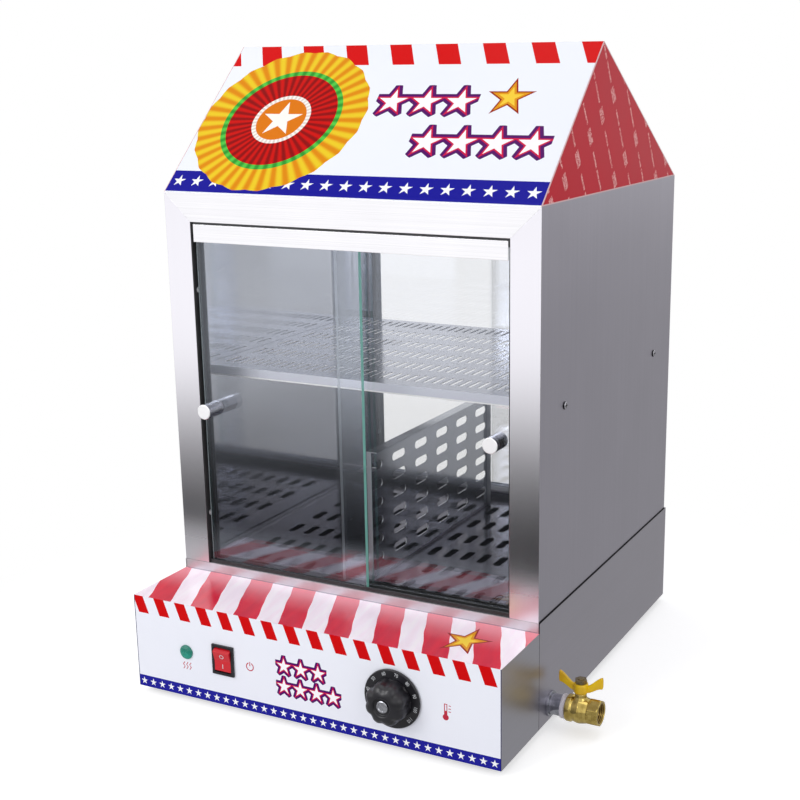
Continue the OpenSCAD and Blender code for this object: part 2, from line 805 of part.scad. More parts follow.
// The ceiling folds down in front and behind, and on under itself, to carry the upper tracks
module ceiling_panel() {
    x1 = half_w - t - inner_gap;
    leg_y = track_setback + track_d;
    color("silver") in_cabinet() {
        block([-x1, leg_y, eave_z - 2 * t], [x1, cab_d - leg_y, eave_z - t]);
        for (s = [0, 1]) translate([0, s * cab_d, 0]) mirror([0, s, 0])
            along_x(-track_half, track_half) polygon([
                [leg_y, eave_z - 2 * t], [leg_y, track_top_z + t], [track_setback, track_top_z + t],
                [track_setback, track_top_z], [leg_y + t, track_top_z], [leg_y + t, eave_z - 2 * t]
            ]);
    }
}

// Bright strips on the fronts of the upper tracks, short of the frame by a dark gap all round
module headers() {
    color("silver") front_and_rear()
        block([-open_half + header_gap, track_setback - t - 0.02, header_z],
            [open_half - header_gap, track_setback - 0.02, rail_z - header_gap]);
}

// One wall, a groove, a wall, a groove and a wall, seen from the end
module track_shape(h) {
    difference() {
        square([track_d, h]);
        for (i = [0, 1])
            translate([track_wall + i * (track_wall + groove_w), track_wall]) square([groove_w, h]);
    }
}

module upper_tracks() {
    color("black") front_and_rear() along_x(-track_half, track_half)
        translate([track_setback, track_top_z]) mirror([0, 1]) track_shape(upper_track_h);
}

module lower_tracks() {
    color("black") front_and_rear() along_x(-track_half, track_half)
        translate([track_setback, sill_z]) track_shape(lower_track_h);
}

module jamb_seals() {
    color("black") front_and_rear() for (s = [0, 1]) mirror([s, 0, 0])
        block([open_half - seal_t, t, sill_z], [open_half, track_setback + track_d, rail_z - 0.2]);
}

// Clear domes on the seals that the doors' edges shut against
module door_bumpers() {
    h = door_gap - seal_t - 0.2;
    r = bumper_d / 2;
    x1 = open_half - seal_t;
    color("white") front_and_rear() for (z = [sill_z + bumper_up, eave_z - bumper_drop]) {
        translate([-x1, outer_groove_y, z]) rotate([0, 90, 0]) cylinder(h = h, r1 = r, r2 = r - 0.8);
        translate([x1, inner_groove_y, z]) rotate([0, -90, 0]) cylinder(h = h, r1 = r, r2 = r - 0.8);
    }
}

// Doors: the outer one stands to the left and the inner one to the right, seen from outside

module door_glass(x0, groove_y, knob_x) {
    difference() {
        translate([x0, groove_y - glass_t / 2, glass_z0]) cube([door_w, glass_t, glass_h]);
        bar_y(groove_y - glass_t, groove_y + glass_t, knob_x, knob_z, glass_hole_r);
    }
}

module door_knob(groove_y, knob_x) {
    r = knob_d / 2;
    translate([knob_x, groove_y - glass_t / 2, knob_z]) rotate([90, 0, 0]) difference() {
        rotate_extrude() polygon([
            [0, 0.02], [r - 0.3, 0.02], [r, 0.4], [r, knob_len - 0.6], [r - 0.6, knob_len], [0, knob_len]
        ]);
        translate([0, 0, -1]) cylinder(h = 13, r = knob_screw_d / 2 + 0.02);
    }
}

module door_screw(groove_y, knob_x) {
    r = knob_screw_d / 2;
    translate([knob_x, groove_y + glass_t / 2, knob_z]) rotate([90, 0, 0]) rotate_extrude() polygon([
        [0, -0.9], [r + 0.8, -0.9], [r + 1.4, -0.4], [r + 1.4, -0.02], [r, -0.02], [r, glass_t + 10],
        [0, glass_t + 10]
    ]);
}

outer_knob_x = outer_x0 + outer_knob_inset;
inner_knob_x = inner_x0 + door_w - inner_knob_inset;

module front_left_glass() {
    color("lightcyan", 0.4) in_cabinet() door_glass(outer_x0, outer_groove_y, outer_knob_x);
}

module front_left_knob() {
    color("silver") in_cabinet() door_knob(outer_groove_y, outer_knob_x);
}

module front_left_screw() {
    color("silver") in_cabinet() door_screw(outer_groove_y, outer_knob_x);
}

module front_right_glass() {
    color("lightcyan", 0.4) in_cabinet() door_glass(inner_x0, inner_groove_y, inner_knob_x);
}

module front_right_knob() {
    color("silver") in_cabinet() door_knob(inner_groove_y, inner_knob_x);
}

module front_right_screw() {
    color("silver") in_cabinet() door_screw(inner_groove_y, inner_knob_x);
}

module rear_right_glass() {
    color("lightcyan", 0.4) turned_to_rear() door_glass(outer_x0, outer_groove_y, outer_knob_x);
}

module rear_right_knob() {
    color("silver") turned_to_rear() door_knob(outer_groove_y, outer_knob_x);
}

module rear_right_screw() {
    color("silver") turned_to_rear() door_screw(outer_groove_y, outer_knob_x);
}

module rear_left_glass() {
    color("lightcyan", 0.4) turned_to_rear() door_glass(inner_x0, inner_groove_y, inner_knob_x);
}

module rear_left_knob() {
    color("silver") turned_to_rear() door_knob(inner_groove_y, inner_knob_x);
}

module rear_left_screw() {
    color("silver") turned_to_rear() door_screw(inner_groove_y, inner_knob_x);
}

// Sign hood

module hood_outline(inset) {
    slope_f = ridge_rise / ridge_back;
    slope_b = ridge_rise / (cab_d - ridge_back);
    drop_f = inset * sqrt(1 + slope_f * slope_f);
    drop_b = inset * sqrt(1 + slope_b * slope_b);
    // The inner faces meet where the two dropped slopes cross
    y = ridge_back + (drop_f - drop_b) / (slope_f + slope_b);
    polygon([
        [drop_f / slope_f, eave_z], [y, eave_z + slope_f * y - drop_f],
        [cab_d - drop_b / slope_b, eave_z]
    ]);
}

module roof_cover() {
    color("white") in_cabinet() along_x(-half_w + t, half_w - t) difference() {
        hood_outline(0);
        hood_outline(t);
    }
}

module left_gable() {
    color("crimson") in_cabinet() along_x(-half_w, -half_w + t) hood_outline(0);
}

module right_gable() {
    color("crimson") in_cabinet() along_x(half_w - t, half_w) hood_outline(0);
}

// Shelf, tray and divider

module upper_shelf() {
    first = shelf_front + 34;
    rows = floor((shelf_y1 - shelf_y0 - 34 - slot_len / 2 - 6) / slot_step);
    columns = floor((shelf_half - 6 - shelf_slot_w / 2) / shelf_pitch);
    color("gainsboro") in_cabinet() {
        difference() {
            block([-shelf_half, shelf_y0, shelf_z - shelf_lip], [shelf_half, shelf_y1, shelf_z]);
            block([-shelf_half + t, shelf_y0 + t, shelf_z - shelf_lip - 1],
                [shelf_half - t, shelf_y1 - t, shelf_z - t]);
            translate([0, 0, shelf_z - 2 * t]) linear_extrude(3 * t)
                for (i = [-columns:columns], j = [0:rows])
                    translate([i * shelf_pitch, first + j * slot_step]) slot_shape(shelf_slot_w, slot_len);
            for (s = [-1, 1], y = shelf_screw_places)
                bar_x(s * shelf_half - 2, s * shelf_half + 2, y, shelf_screw_z, shelf_screw_d / 2 + 0.1);
        }
    }
}

module shelf_screws() {
    r = shelf_screw_d / 2;
    color("silver") in_cabinet() for (y = shelf_screw_places, s = [0, 1])
        mirror([s, 0, 0]) translate([half_w, y, shelf_screw_z]) rotate([0, 90, 0]) {
            rotate_extrude() polygon([
                [0, -10], [r, -10], [r, 0.02], [r + 1.9, 0.02], [r + 1.9, 0.7], [r + 0.8, 1.8], [0, 1.8]
            ]);
            translate([0, 0, half_w_to_nut()]) linear_extrude(3) difference() {
                hexagon(3.5 * r);
                circle(r = r + 0.02);
            }
        }
}

function half_w_to_nut() = shelf_half - half_w - t - 3.05;

module slot_pattern(x_range, y_first, y_count) {
    for (i = x_range, j = [0:y_count - 1])
        translate([i, y_first + j * slot_step]) slot_shape(slot_w, slot_len);
}

module steam_tray() {
    per_side = floor((deck_half - tray_gap - slot_offset - slot_w) / slot_pitch);
    rows = floor((tray_back - slot_start - slot_len / 2 - ledge_w) / slot_step) + 1;
    color("gainsboro") in_cabinet() difference() {
        union() {
            block([-tray_half, tray_front, tray_z - t], [tray_half, tray_back, tray_z]);
            fx = deck_half - tray_gap;
            fy0 = deck_front + tray_gap;
            fy1 = deck_back - tray_gap;
            difference() {
                block([-fx, fy0, tray_z - tray_flange], [fx, fy1, tray_z - t / 2]);
                block([-fx + t, fy0 + t, tray_z - tray_flange - 1], [fx - t, fy1 - t, tray_z]);
                for (s = [-1, 1], e = [0, 1])
                    translate([s * fx - 5, (e == 0 ? fy0 : fy1) - 5, tray_z - tray_flange - 1])
                        cube([10, 10, tray_flange + 1 - t]);
            }
        }
        translate([0, 0, tray_z - 2 * t]) linear_extrude(3 * t)
            slot_pattern([for (k = [-per_side - 1:per_side]) slot_offset + k * slot_pitch], slot_start, rows);
    }
}

module divider() {
    y0 = tray_front + divider_front;
    y1 = tray_back - divider_back;
    low = 22;
    rows = floor((divider_h - low - slot_w) / slot_pitch);
    columns = floor((y1 - slot_start - slot_len / 2 - 4) / slot_step);
    color("gainsboro") in_cabinet() difference() {
        union() {
            block([-t / 2, y0, tray_z + 0.02], [t / 2, y1, tray_z + divider_h]);
            block([-t / 2, y0, tray_z + divider_h - t], [divider_fold, y1, tray_z + divider_h]);
            for (y = [y0, y1 - t])
                block([-t / 2, y, tray_z + 0.02], [divider_end_fold, y + t, tray_z + divider_h]);
        }
        translate([-2, 0, 0]) along_x(0, 4)
            for (j = [0:rows], i = [0:columns])
                translate([slot_start + i * slot_step, tray_z + low + j * slot_pitch])
                    rotate([0, 0, 90]) slot_shape(slot_w, slot_len);
    }
}

// Drain: a nipple welded to the tank, a flange, tape and a ball valve with a butterfly handle

module drain_nipple() {
    color("silver") in_cabinet() difference() {
        bar_x(tank_half - t, valve_x + socket_len - 0.5, drain_back, drain_z, nipple_d / 2);
        bar_x(tank_half - t - 1, valve_x + socket_len, drain_back, drain_z, nipple_bore / 2);
    }
}

module drain_flange() {
    color("silver") in_cabinet() difference() {
        bar_x(base_half + 0.02, base_half + flange_t, drain_back, drain_z, nipple_d / 2 + flange_lip);
        bar_x(base_half - 1, base_half + flange_t + 1, drain_back, drain_z, nipple_d / 2 + 0.02);
    }
}

module thread_tape() {
    color("white") in_cabinet() difference() {
        bar_x(valve_x - tape_w, valve_x - 0.05, drain_back, drain_z, nipple_d / 2 + tape_t);
        bar_x(valve_x - tape_w - 1, valve_x + 1, drain_back, drain_z, nipple_d / 2 + 0.02);
    }
}

module in_valve() {
    in_cabinet() translate([valve_x, drain_back, drain_z]) children();
}

// Turns a profile of stations along X and radii about the X axis
module turned_x(points) {
    rotate([90, 0, 90]) rotate_extrude() polygon([for (p = points) [p[1], p[0]]]);
}

module valve_body() {
    r = valve_d / 2;
    bx = stem_back;
    color("goldenrod") in_valve() difference() {
        union() {
            turned_x([
                [0, 0], [0, r - 0.8], [0.8, r], [6, r], [7, r - 1.1], [bx - 4, r - 0.6], [bx, r],
                [bx + 4, r - 0.6], [valve_len, r - 2], [valve_len, 0]
            ]);
            bar_z(0, boss_top, bx, 0, stem_d / 2 + 2.4);
        }
        bar_x(-1, socket_len, 0, 0, nipple_d / 2 + 0.02);
        bar_x(socket_len - 1, valve_len + 1, 0, 0, 6);
        bar_x(bx - ball_room, valve_len + 1, 0, 0, ball_room);
        bar_z(0, boss_top + 1, bx, 0, stem_d / 2 + stem_gap);
    }
}

module valve_end() {
    seat_x = stem_back + sqrt(pow(ball_d / 2, 2) - pow(ball_port / 2, 2)) + 0.3;
    x1 = valve_len + hex_len;
    corner = hex_flats / sqrt(3);
    color("goldenrod") in_valve() difference() {
        union() {
            bar_x(seat_x, valve_len + 1, 0, 0, ball_room - 0.02);
            translate([valve_len + 0.02, 0, 0]) rotate([90, 0, 90]) intersection() {
                linear_extrude(hex_len) rotate([0, 0, 30]) hexagon(hex_flats);
                rotate_extrude() polygon([
                    [0, 0], [corner - 0.5, 0], [corner + 0.5, 1], [corner + 0.5, hex_len - 1.4],
                    [corner - 0.9, hex_len], [0, hex_len]
                ]);
            }
        }
        bar_x(seat_x - 1, x1 + 1, 0, 0, ball_port / 2);
        bar_x(x1 - outlet_len, x1 + 1, 0, 0, outlet_bore / 2);
    }
}

module valve_ball() {
    color("silver") in_valve() translate([stem_back, 0, 0]) difference() {
        sphere(r = ball_d / 2);
        rotate([0, 90, 0]) cylinder(h = ball_d + 2, r = ball_port / 2, center = true);
        translate([-4, -1.1, ball_d / 2 - 1.8]) cube([8, 2.2, 4]);
    }
}

module valve_stem() {
    top = packing_top + hub_h + 5;
    color("silver") in_valve() translate([stem_back, 0, 0]) {
        bar_z(ball_d / 2 + 0.3, top, 0, 0, stem_d / 2);
        translate([-2.4, -1.05, ball_d / 2 - 1.7]) cube([4.8, 2.1, 3]);
    }
}

// A round hub with two wings that rise to broad tips
module valve_handle() {
    hub = stem_d / 2 + 4;
    tip = handle_w / 2;
    color("gold") in_valve() translate([stem_back, 0, 0]) difference() {
        union() {
            bar_z(packing_top + 0.3, packing_top + hub_h, 0, 0, hub);
            for (s = [0, 1]) mirror([s, 0, 0]) along_y(-wing_t / 2, wing_t / 2) polygon([
                [hub - 2, packing_top + 1], [hub + 1, packing_top + 1.4], [tip - 0.6, packing_top + 7.5],
                [tip, packing_top + 19.5], [tip - 1.4, packing_top + 19.8], [hub, packing_top + 8],
                [hub - 2, packing_top + 7]
            ]);
        }
        bar_z(packing_top, packing_top + hub_h + 1, 0, 0, stem_d / 2 + 0.02);
    }
}

module handle_nut() {
    color("silver") in_valve() translate([stem_back, 0, packing_top + hub_h + 0.05])
        linear_extrude(4) difference() {
            hexagon(stem_d + 4);
            circle(r = stem_d / 2 + 0.02);
        }
}

// Cord inlet at the back. The cord itself is not part of the model
module cord_gland() {
    r = cord_d / 2;
    color("black") in_cabinet() translate([-gland_x, back_y, base_z + gland_up]) rotate([-90, 0, 0])
        rotate_extrude() polygon([
            [r, -6], [r + 7, -6], [r + 7, -t - 0.05], [r + 4, -t - 0.05], [r + 4, 0.05], [r + 7, 0.05],
            [r + 7, 3], [r + 4, 4], [r + 2, gland_len], [r, gland_len]
        ]);
}

base_housing();
control_box();
bottom_plate();
support_rails();
feet();
foot_screws();
water_tank();
heating_element();
heater_nuts();
thermostat_body();
thermostat_shaft();
dial_skirt();
thermostat_knob();
knob_cap();
thermostat_bulb();
bulb_gland();
lamp_body();
lamp_lens();
switch_housing();
switch_rocker();
terminal_block();
wiring_loom();
left_side_panel();
right_side_panel();
top_rails();
ceiling_panel();
headers();
upper_tracks();
lower_tracks();
jamb_seals();
door_bumpers();
front_left_glass();
front_left_knob();
front_left_screw();
front_right_glass();
front_right_knob();
front_right_screw();
rear_left_glass();
rear_left_knob();
rear_left_screw();
rear_right_glass();
rear_right_knob();
rear_right_screw();
roof_cover();
left_gable();
right_gable();
upper_shelf();
shelf_screws();
steam_tray();
divider();
drain_nipple();
drain_flange();
thread_tape();
valve_body();
valve_end();
valve_ball();
valve_stem();
valve_handle();
handle_nut();
cord_gland();
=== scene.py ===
# %% [markdown]
# # A hot dog steamer
#
# The real machine is a sheet steel cabinet over a water tank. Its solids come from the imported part
# and are never moved. This lesson gives them their finishes, adds the pieces that only a mesh can
# show well, and lights the whole as a plain product picture.

import bmesh
import bpy
import numpy as np
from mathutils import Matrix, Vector


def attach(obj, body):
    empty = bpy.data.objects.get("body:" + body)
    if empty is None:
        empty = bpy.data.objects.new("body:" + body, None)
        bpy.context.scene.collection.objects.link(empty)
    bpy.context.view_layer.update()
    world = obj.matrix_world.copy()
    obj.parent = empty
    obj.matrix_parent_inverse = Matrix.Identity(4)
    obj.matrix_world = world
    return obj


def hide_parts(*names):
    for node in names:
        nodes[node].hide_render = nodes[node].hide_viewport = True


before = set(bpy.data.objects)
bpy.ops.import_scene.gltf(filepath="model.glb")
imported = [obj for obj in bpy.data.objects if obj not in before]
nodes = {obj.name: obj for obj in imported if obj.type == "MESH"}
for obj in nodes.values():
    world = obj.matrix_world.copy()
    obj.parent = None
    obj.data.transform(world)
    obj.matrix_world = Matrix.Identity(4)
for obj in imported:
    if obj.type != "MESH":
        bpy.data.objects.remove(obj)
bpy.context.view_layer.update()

# %% [markdown]
# Every size of the cabinet counts from the middle of its front frame and from the underside of its
# housing. The part's own origin is elsewhere, so two small helpers carry millimetres over.

# %% Millimetres on the cabinet
CABINET_X, CABINET_Y, FOOT_HEIGHT = -27.25, -145.4, 8.0
HALF_WIDTH, DEPTH = 205.0, 380.0
SILL, EAVE, RIDGE = 110.0, 500.0, 641.0
RIDGE_BACK = 148.0
CONTROL_DEPTH, CONTROL_HEIGHT = 86.0, 100.0
OPENING_HALF = 175.0
OFFSET = np.array([CABINET_X, CABINET_Y, FOOT_HEIGHT])


def metres(points):
    """Turns points in millimetres on the cabinet into metres in the part's frame."""
    return (np.asarray(points, float) + OFFSET) / 1000


print("front frame at y =", round(metres([0, 0, 0])[1], 4), "m")

# %% [markdown]
# ## The camera
#
# The picture was taken from the right and a little above. The camera's place and angles were worked
# out from the straight edges of the cabinet: how far it tilts up from looking straight down, how far
# it rolls, and how far it is turned about the upright.

# %% Camera at the picture's angle
EYE = (660.744, -1081.702, 615.997)
TILT, ROLL, TURN = 75.7287, 0.4345, 26.3956
camera = bpy.data.objects.new("camera", bpy.data.cameras.new("camera"))
bpy.context.collection.objects.link(camera)
camera.location = metres(EYE).tolist()
camera.rotation_euler = np.radians([TILT, ROLL, TURN]).tolist()
camera.data.sensor_width, camera.data.lens = 36.0, 60.262
camera.data.shift_x, camera.data.shift_y = -0.0715, 0.0129
camera.data.clip_start = 0.05
bpy.context.scene.camera = camera
print("camera at", [round(v, 3) for v in camera.location])

# %% [markdown]
# ## Writing shader sums as Python
#
# A pattern such as a star is a sum over the place on the surface. One small class wraps a socket and
# overloads the operators, so that the sum reads as it would on paper and adds its own Math nodes.
# Everything else comes from one method that takes a node's type, its settings and its sockets.


# %% A number worked out by nodes
class Value:
    """A socket that carries a number, with the usual operators on both sides."""

    def __init__(self, graph, socket):
        self.graph, self.socket = graph, socket

    def _math(self, operation, *others):
        return self.graph.number("ShaderNodeMath", {"operation": operation}, [self, *others])

    def __add__(self, other): return self._math("ADD", other)
    __radd__ = __add__
    def __sub__(self, other): return self._math("SUBTRACT", other)
    def __rsub__(self, other): return (self * -1) + other
    def __mul__(self, other): return self._math("MULTIPLY", other)
    __rmul__ = __mul__
    def __truediv__(self, other): return self._math("DIVIDE", other)
    def __rtruediv__(self, other): return self._math("POWER", -1) * other
    def __neg__(self): return self * -1
    def __abs__(self): return self._math("ABSOLUTE")
    def __pow__(self, other): return self._math("POWER", other)
    def __mod__(self, other): return self._math("FLOORED_MODULO", other)
    def __lt__(self, other): return self._math("LESS_THAN", other)
    def __gt__(self, other): return self._math("GREATER_THAN", other)
    def __and__(self, other): return self * other
    def __or__(self, other): return self._math("MAXIMUM", other)
    def sin(self): return self._math("SINE")
    def cos(self): return self._math("COSINE")
    def clamp(self, low, high): return self._math("MAXIMUM", low)._math("MINIMUM", high)

    def smooth(self, start, end):
        """Rises from 0 at start to 1 at end, gently at both."""
        t = ((self - start) / (end - start)).clamp(0, 1)
        return t * t * (3 - 2 * t)

    def angle(self, other):
        """The angle whose tangent is this over the other."""
        return self._math("ARCTAN2", other)


# %% The nodes of one material, or of the world
class Graph:
    """Builds the nodes of a new material, or of the owner that is given."""

    def __init__(self, name, owner=None):
        self.material = owner or bpy.data.materials.new(name)
        self.material.use_nodes = True
        self.tree = self.material.node_tree
        self.tree.nodes.clear()

    def node(self, kind, settings=None, sockets=None):
        """Adds a node: its type, its settings first, then values or links by socket."""
        made = self.tree.nodes.new(kind)
        for name, value in (settings or {}).items():
            setattr(made, name, value)
        items = sockets.items() if isinstance(sockets, dict) else enumerate(sockets or [])
        for key, value in items:
            if isinstance(value, Value):
                value = value.socket
            if isinstance(value, bpy.types.NodeSocket):
                self.tree.links.new(value, made.inputs[key])
            else:
                made.inputs[key].default_value = value
        return made

    def number(self, kind, settings=None, sockets=None, output=0):
        return Value(self, self.node(kind, settings, sockets).outputs[output])

    def place(self):
        """The three places on the surface, in millimetres on the cabinet."""
        coords = self.node("ShaderNodeTexCoord").outputs["Object"]
        scaled = self.node("ShaderNodeVectorMath", {"operation": "MULTIPLY_ADD"},
                           [coords, (1000, 1000, 1000), tuple(-OFFSET)])
        split = self.node("ShaderNodeSeparateXYZ", None, [scaled.outputs[0]])
        return [Value(self, s) for s in split.outputs]

    def facing(self):
        """The three parts of the surface's own direction."""
        split = self.node("ShaderNodeSeparateXYZ", None,
                          [self.node("ShaderNodeNewGeometry").outputs["True Normal"]])
        return [Value(self, s) for s in split.outputs]

    def vector(self, x, y, z):
        return self.node("ShaderNodeCombineXYZ", None, [x, y, z]).outputs[0]

    def noise(self, vector, scale, detail=3.0, roughness=0.5):
        return self.number("ShaderNodeTexNoise", {"noise_dimensions": "3D"},
                           {"Vector": vector, "Scale": scale, "Detail": detail, "Roughness": roughness})

    def mix(self, amount, first, second):
        """Goes from the first colour to the second as amount goes from 0 to 1."""
        sockets = {0: amount, 6: first, 7: second}
        return self.node("ShaderNodeMix", {"data_type": "RGBA"}, sockets).outputs[2]

    def bump(self, height, strength, distance, normal=None):
        """A direction tipped by the slope of height, distance metres high where height is 1."""
        sockets = {"Height": height, "Strength": strength, "Distance": distance}
        if normal is not None:
            sockets["Normal"] = normal
        return self.node("ShaderNodeBump", None, sockets).outputs[0]

    def rounded(self, radius):
        """The surface's direction as if its edges were rounded to this radius in metres."""
        return self.node("ShaderNodeBevel", {"samples": 4}, {"Radius": radius}).outputs[0]

    def finish(self, **sockets):
        """Closes the material: one shader, whose sockets have the short names below."""
        names = {"color": "Base Color", "roughness": "Roughness", "metallic": "Metallic",
                 "coat": "Coat Weight", "alpha": "Alpha", "normal": "Normal", "ior": "IOR",
                 "glow": "Emission Color", "glow_strength": "Emission Strength",
                 "specular": "Specular IOR Level"}
        shader = self.node("ShaderNodeBsdfPrincipled", None, {names[k]: v for k, v in sockets.items()})
        self.node("ShaderNodeOutputMaterial", None, [shader.outputs[0]])
        return self.material


def colour(red, green, blue):
    """A colour as a screen shows it, 0 to 255 a channel, turned into light."""
    c = np.array([red, green, blue]) / 255
    return (*np.where(c <= 0.04045, c / 12.92, ((c + 0.055) / 1.055) ** 2.4), 1.0)


print("a mid grey of 128 is", round(colour(128, 128, 128)[0], 3), "in light")

# %% [markdown]
# ## Steel
#
# The cabinet's outside is stainless sheet with a fine straight grain. The inside is nearly a mirror.
# Both are the same metal: noise stretched along the grain roughens it and lifts it by a hair, and
# slow noise leaves the faint clouds that wiping leaves. A sheet may also carry marks of its own, such
# as a seam or a folded edge, and painted light there: painted gap shade, painted highlights and a
# painted reflection. A small function adds them from the place and the direction.


# %% Grained sheet steel
def sheet_steel(name, tint, grain, rough, depth, cloud=0.05, edge=0.0004, streak=0.10, marks=None):
    """Sheet with its grain along one axis. Tint is lowered and raised by streak. Marks takes the
    graph and the colour, and gives back the colour and a mask that is 1 where the sheet is satin."""
    g = Graph(name)
    x, y, z = g.place()
    along, across = 0.004, 1.1
    scales = [along if axis == grain else across for axis in "xyz"]
    lines = g.noise(g.vector(x * scales[0], y * scales[1], z * scales[2]), 1.0, 4.0, 0.6)
    slow = g.noise(g.vector(x, y, z), 0.012, 2.0)
    dark = tuple((1 - streak) * c for c in tint[:3]) + (1.0,)
    light = tuple(min(1.0, (1 + 0.6 * streak) * c) for c in tint[:3]) + (1.0,)
    shown, satin = g.mix((lines * 0.7 + slow * 0.3).smooth(0.3, 0.7), dark, light), 0
    if marks:
        shown, satin = marks(g, shown)
    rough = rough + (lines - 0.5) * rough * 0.35 + (slow - 0.5) * cloud + satin * 0.35
    return g.finish(
        color=shown, metallic=1.0, roughness=rough.clamp(0.03, 0.9),
        normal=g.bump(lines, depth, 0.00005, g.rounded(edge)),
    )


# %% Marks and painted light on the sheets
# GAP_SHADE is the dark colour of painted shade in the gaps between parts.
GAP_SHADE = colour(38, 36, 42)
SHELF_FRONT, SHELF_REAR, SHELF_HALF, SHELF_HEM = 49.5, 350.0, 200.0, 305.4
DIVIDER_FOOT = 105.0


def housing_seams(g, shown):
    """Painted gap shade: dark lines where the housing meets the cabinet and the control box."""
    x, y, z = g.place()
    shaded_gap = (abs(x) > HALF_WIDTH + 0.3) & ((z > SILL - 0.5) | (y < 0.8)) & (y < DEPTH)
    return g.mix(shaded_gap, shown, GAP_SHADE), 0


def shelf_marks(g, shown):
    """Satin folds, a pale front one with a painted highlight on its hem, and painted highlights on the
    walls in the slots.
    """
    x, y, z = g.place()
    upright = abs(g.facing()[2]) < 0.5
    slot_glints = upright & (y > SHELF_FRONT) & (y < SHELF_REAR) & (abs(x) < SHELF_HALF)
    hem_highlight = (y < SHELF_FRONT) & (z < SHELF_HEM)
    shown = g.mix(upright & (y < SHELF_FRONT), shown, colour(216, 218, 229))
    # Painted highlights: white on the hem and on the walls in the slots.
    return g.mix(slot_glints | hem_highlight, shown, colour(255, 255, 255)), upright


def divider_marks(g, shown):
    """Satin end folds and a satin foot, painted darker towards the bottom: a painted reflection of the tray.
    """
    z, ends = g.place()[2], abs(g.facing()[1]) > 0.5
    # Painted reflection: the foot darkens towards the bottom to the tray's grey.
    shown = g.mix(z.smooth(DIVIDER_FOOT + 5, DIVIDER_FOOT - 2), shown, colour(136, 136, 146))
    return shown, ends | (z < DIVIDER_FOOT)


print("marks for the housing, the shelf and the divider")

# %% Each sheet's own steel
panel_steel = sheet_steel("panel_steel", colour(168, 165, 175), "z", 0.36, 0.06, streak=0.06)
housing_steel = sheet_steel("housing_steel", colour(166, 163, 173), "y", 0.36, 0.06, streak=0.06,
                            marks=housing_seams)
rail_steel = sheet_steel("rail_steel", colour(242, 241, 245), "x", 0.16, 0.05, 0.04, 0.0004, 0.06)
mirror_steel = sheet_steel("mirror_steel", colour(222, 224, 230), "y", 0.07, 0.012, 0.03, 0.0003, 0.04)
divider_steel = sheet_steel("divider_steel", colour(174, 177, 184), "y", 0.14, 0.01, 0.03, 0.0003, 0.04,
                            divider_marks)
shelf_steel = sheet_steel("shelf_steel", colour(153, 156, 170), "y", 0.15, 0.015, 0.04, 0.0003, 0.05,
                          shelf_marks)
tray_steel = sheet_steel("tray_steel", colour(80, 79, 93), "y", 0.18, 0.01, 0.05, 0.0003, 0.12)
tank_steel = sheet_steel("tank_steel", colour(104, 103, 114), "y", 0.26, 0.02)
print("steels made")

# %% [markdown]
# A folded panel has three finishes. Its broad outer face has an upright grain, the narrow uprights
# beside the doors are polished, and inside it is nearly a mirror, as the sheet comes under its film.
# Place and direction tell the three apart, so that one material serves the whole panel. The inside
# grows darker towards the tray, lines of painted shadow stand where the seals press on the folds,
# and painted gap shade runs along the outside's foot.


# %% Side panels, grained outside and smooth inside
SEAL_X, SEAL_HALF, FOLD_EDGE = 193.0, 1.7, 182.5
REAR_FOLD, INNER_DARK_TOP, INNER_DARK_LOW = 322.0, 350.0, 215.0


def side_steel(name):
    """Finish = outside grain, or polished uprights by the doors, or smooth inside, told apart by
    place and direction. The inside pales at the rear fold and darkens from one height to a lower, and
    carries painted shadow lines at the seals; the outside has painted gap shade at its foot."""
    g = Graph(name)
    x, y, z = g.place()
    ny = g.facing()[1]
    upright = (abs(ny) > 0.5) & ((y < 0.4) | (y > DEPTH - 0.4))
    inside = (abs(x) < HALF_WIDTH - 0.4) & (y > 0.4) & (y < DEPTH - 0.4)
    grained = 1 - (upright | inside)
    lines = g.noise(g.vector(x * 1.1, y * 1.1, z * 0.004), 1.0, 4.0, 0.6)
    slow = g.noise(g.vector(x, y, z), 0.012, 2.0)
    outer = g.mix((lines * 0.7 + slow * 0.3).smooth(0.3, 0.7), colour(160, 157, 168), colour(169, 166, 177))
    # Painted gap shade along the foot, where the panel goes down into the housing.
    outer = g.mix(z < SILL + 1.4, outer, GAP_SHADE)
    inner = g.mix(slow, colour(200, 203, 211), colour(214, 216, 223))
    inner = g.mix(y.smooth(REAR_FOLD - 10, REAR_FOLD), inner, colour(240, 242, 250))
    # Darker from one height down towards the tray.
    inner = g.mix(z.smooth(INNER_DARK_TOP, INNER_DARK_LOW) * 0.8, inner, colour(150, 151, 158))
    # Painted shadow lines on the inward faces, at the seals and past the edge of the fold.
    shadow_lines = (abs(abs(x) - SEAL_X) < SEAL_HALF) | (abs(x) < FOLD_EDGE)
    shade = g.mix(shadow_lines, colour(146, 148, 158), colour(62, 62, 70))
    inner = g.mix(abs(ny) > 0.5, inner, shade)
    face = g.mix(lines * 0.5 + slow * 0.5, colour(230, 228, 235), colour(242, 240, 247))
    return g.finish(
        color=g.mix(upright, g.mix(inside, outer, inner), face), metallic=1.0,
        roughness=(0.36 + (lines - 0.5) * (0.02 + grained * 0.08) - inside * 0.28
                   + upright * (z.smooth(165, 118) * 0.18 - 0.20) + (slow - 0.5) * 0.04).clamp(0.04, 0.9),
        normal=g.bump(lines * (0.12 + grained * 0.88), 0.06, 0.00005, g.rounded(0.0004)),
    )


folded_steel = side_steel("folded_steel")
print("side panels have", folded_steel.name)

# %% [markdown]
# ## Printed film
#
# The hood and the control panel are covered in printed film. Its patterns are old fairground ones:
# slanting red stripes, and a blue band with a row of white stars. A five pointed star is ten copies
# of one wedge, so the angle round the centre is folded back on itself and a single straight edge
# cuts the wedge. Rows repeat by taking the remainder of the place by the spacing.

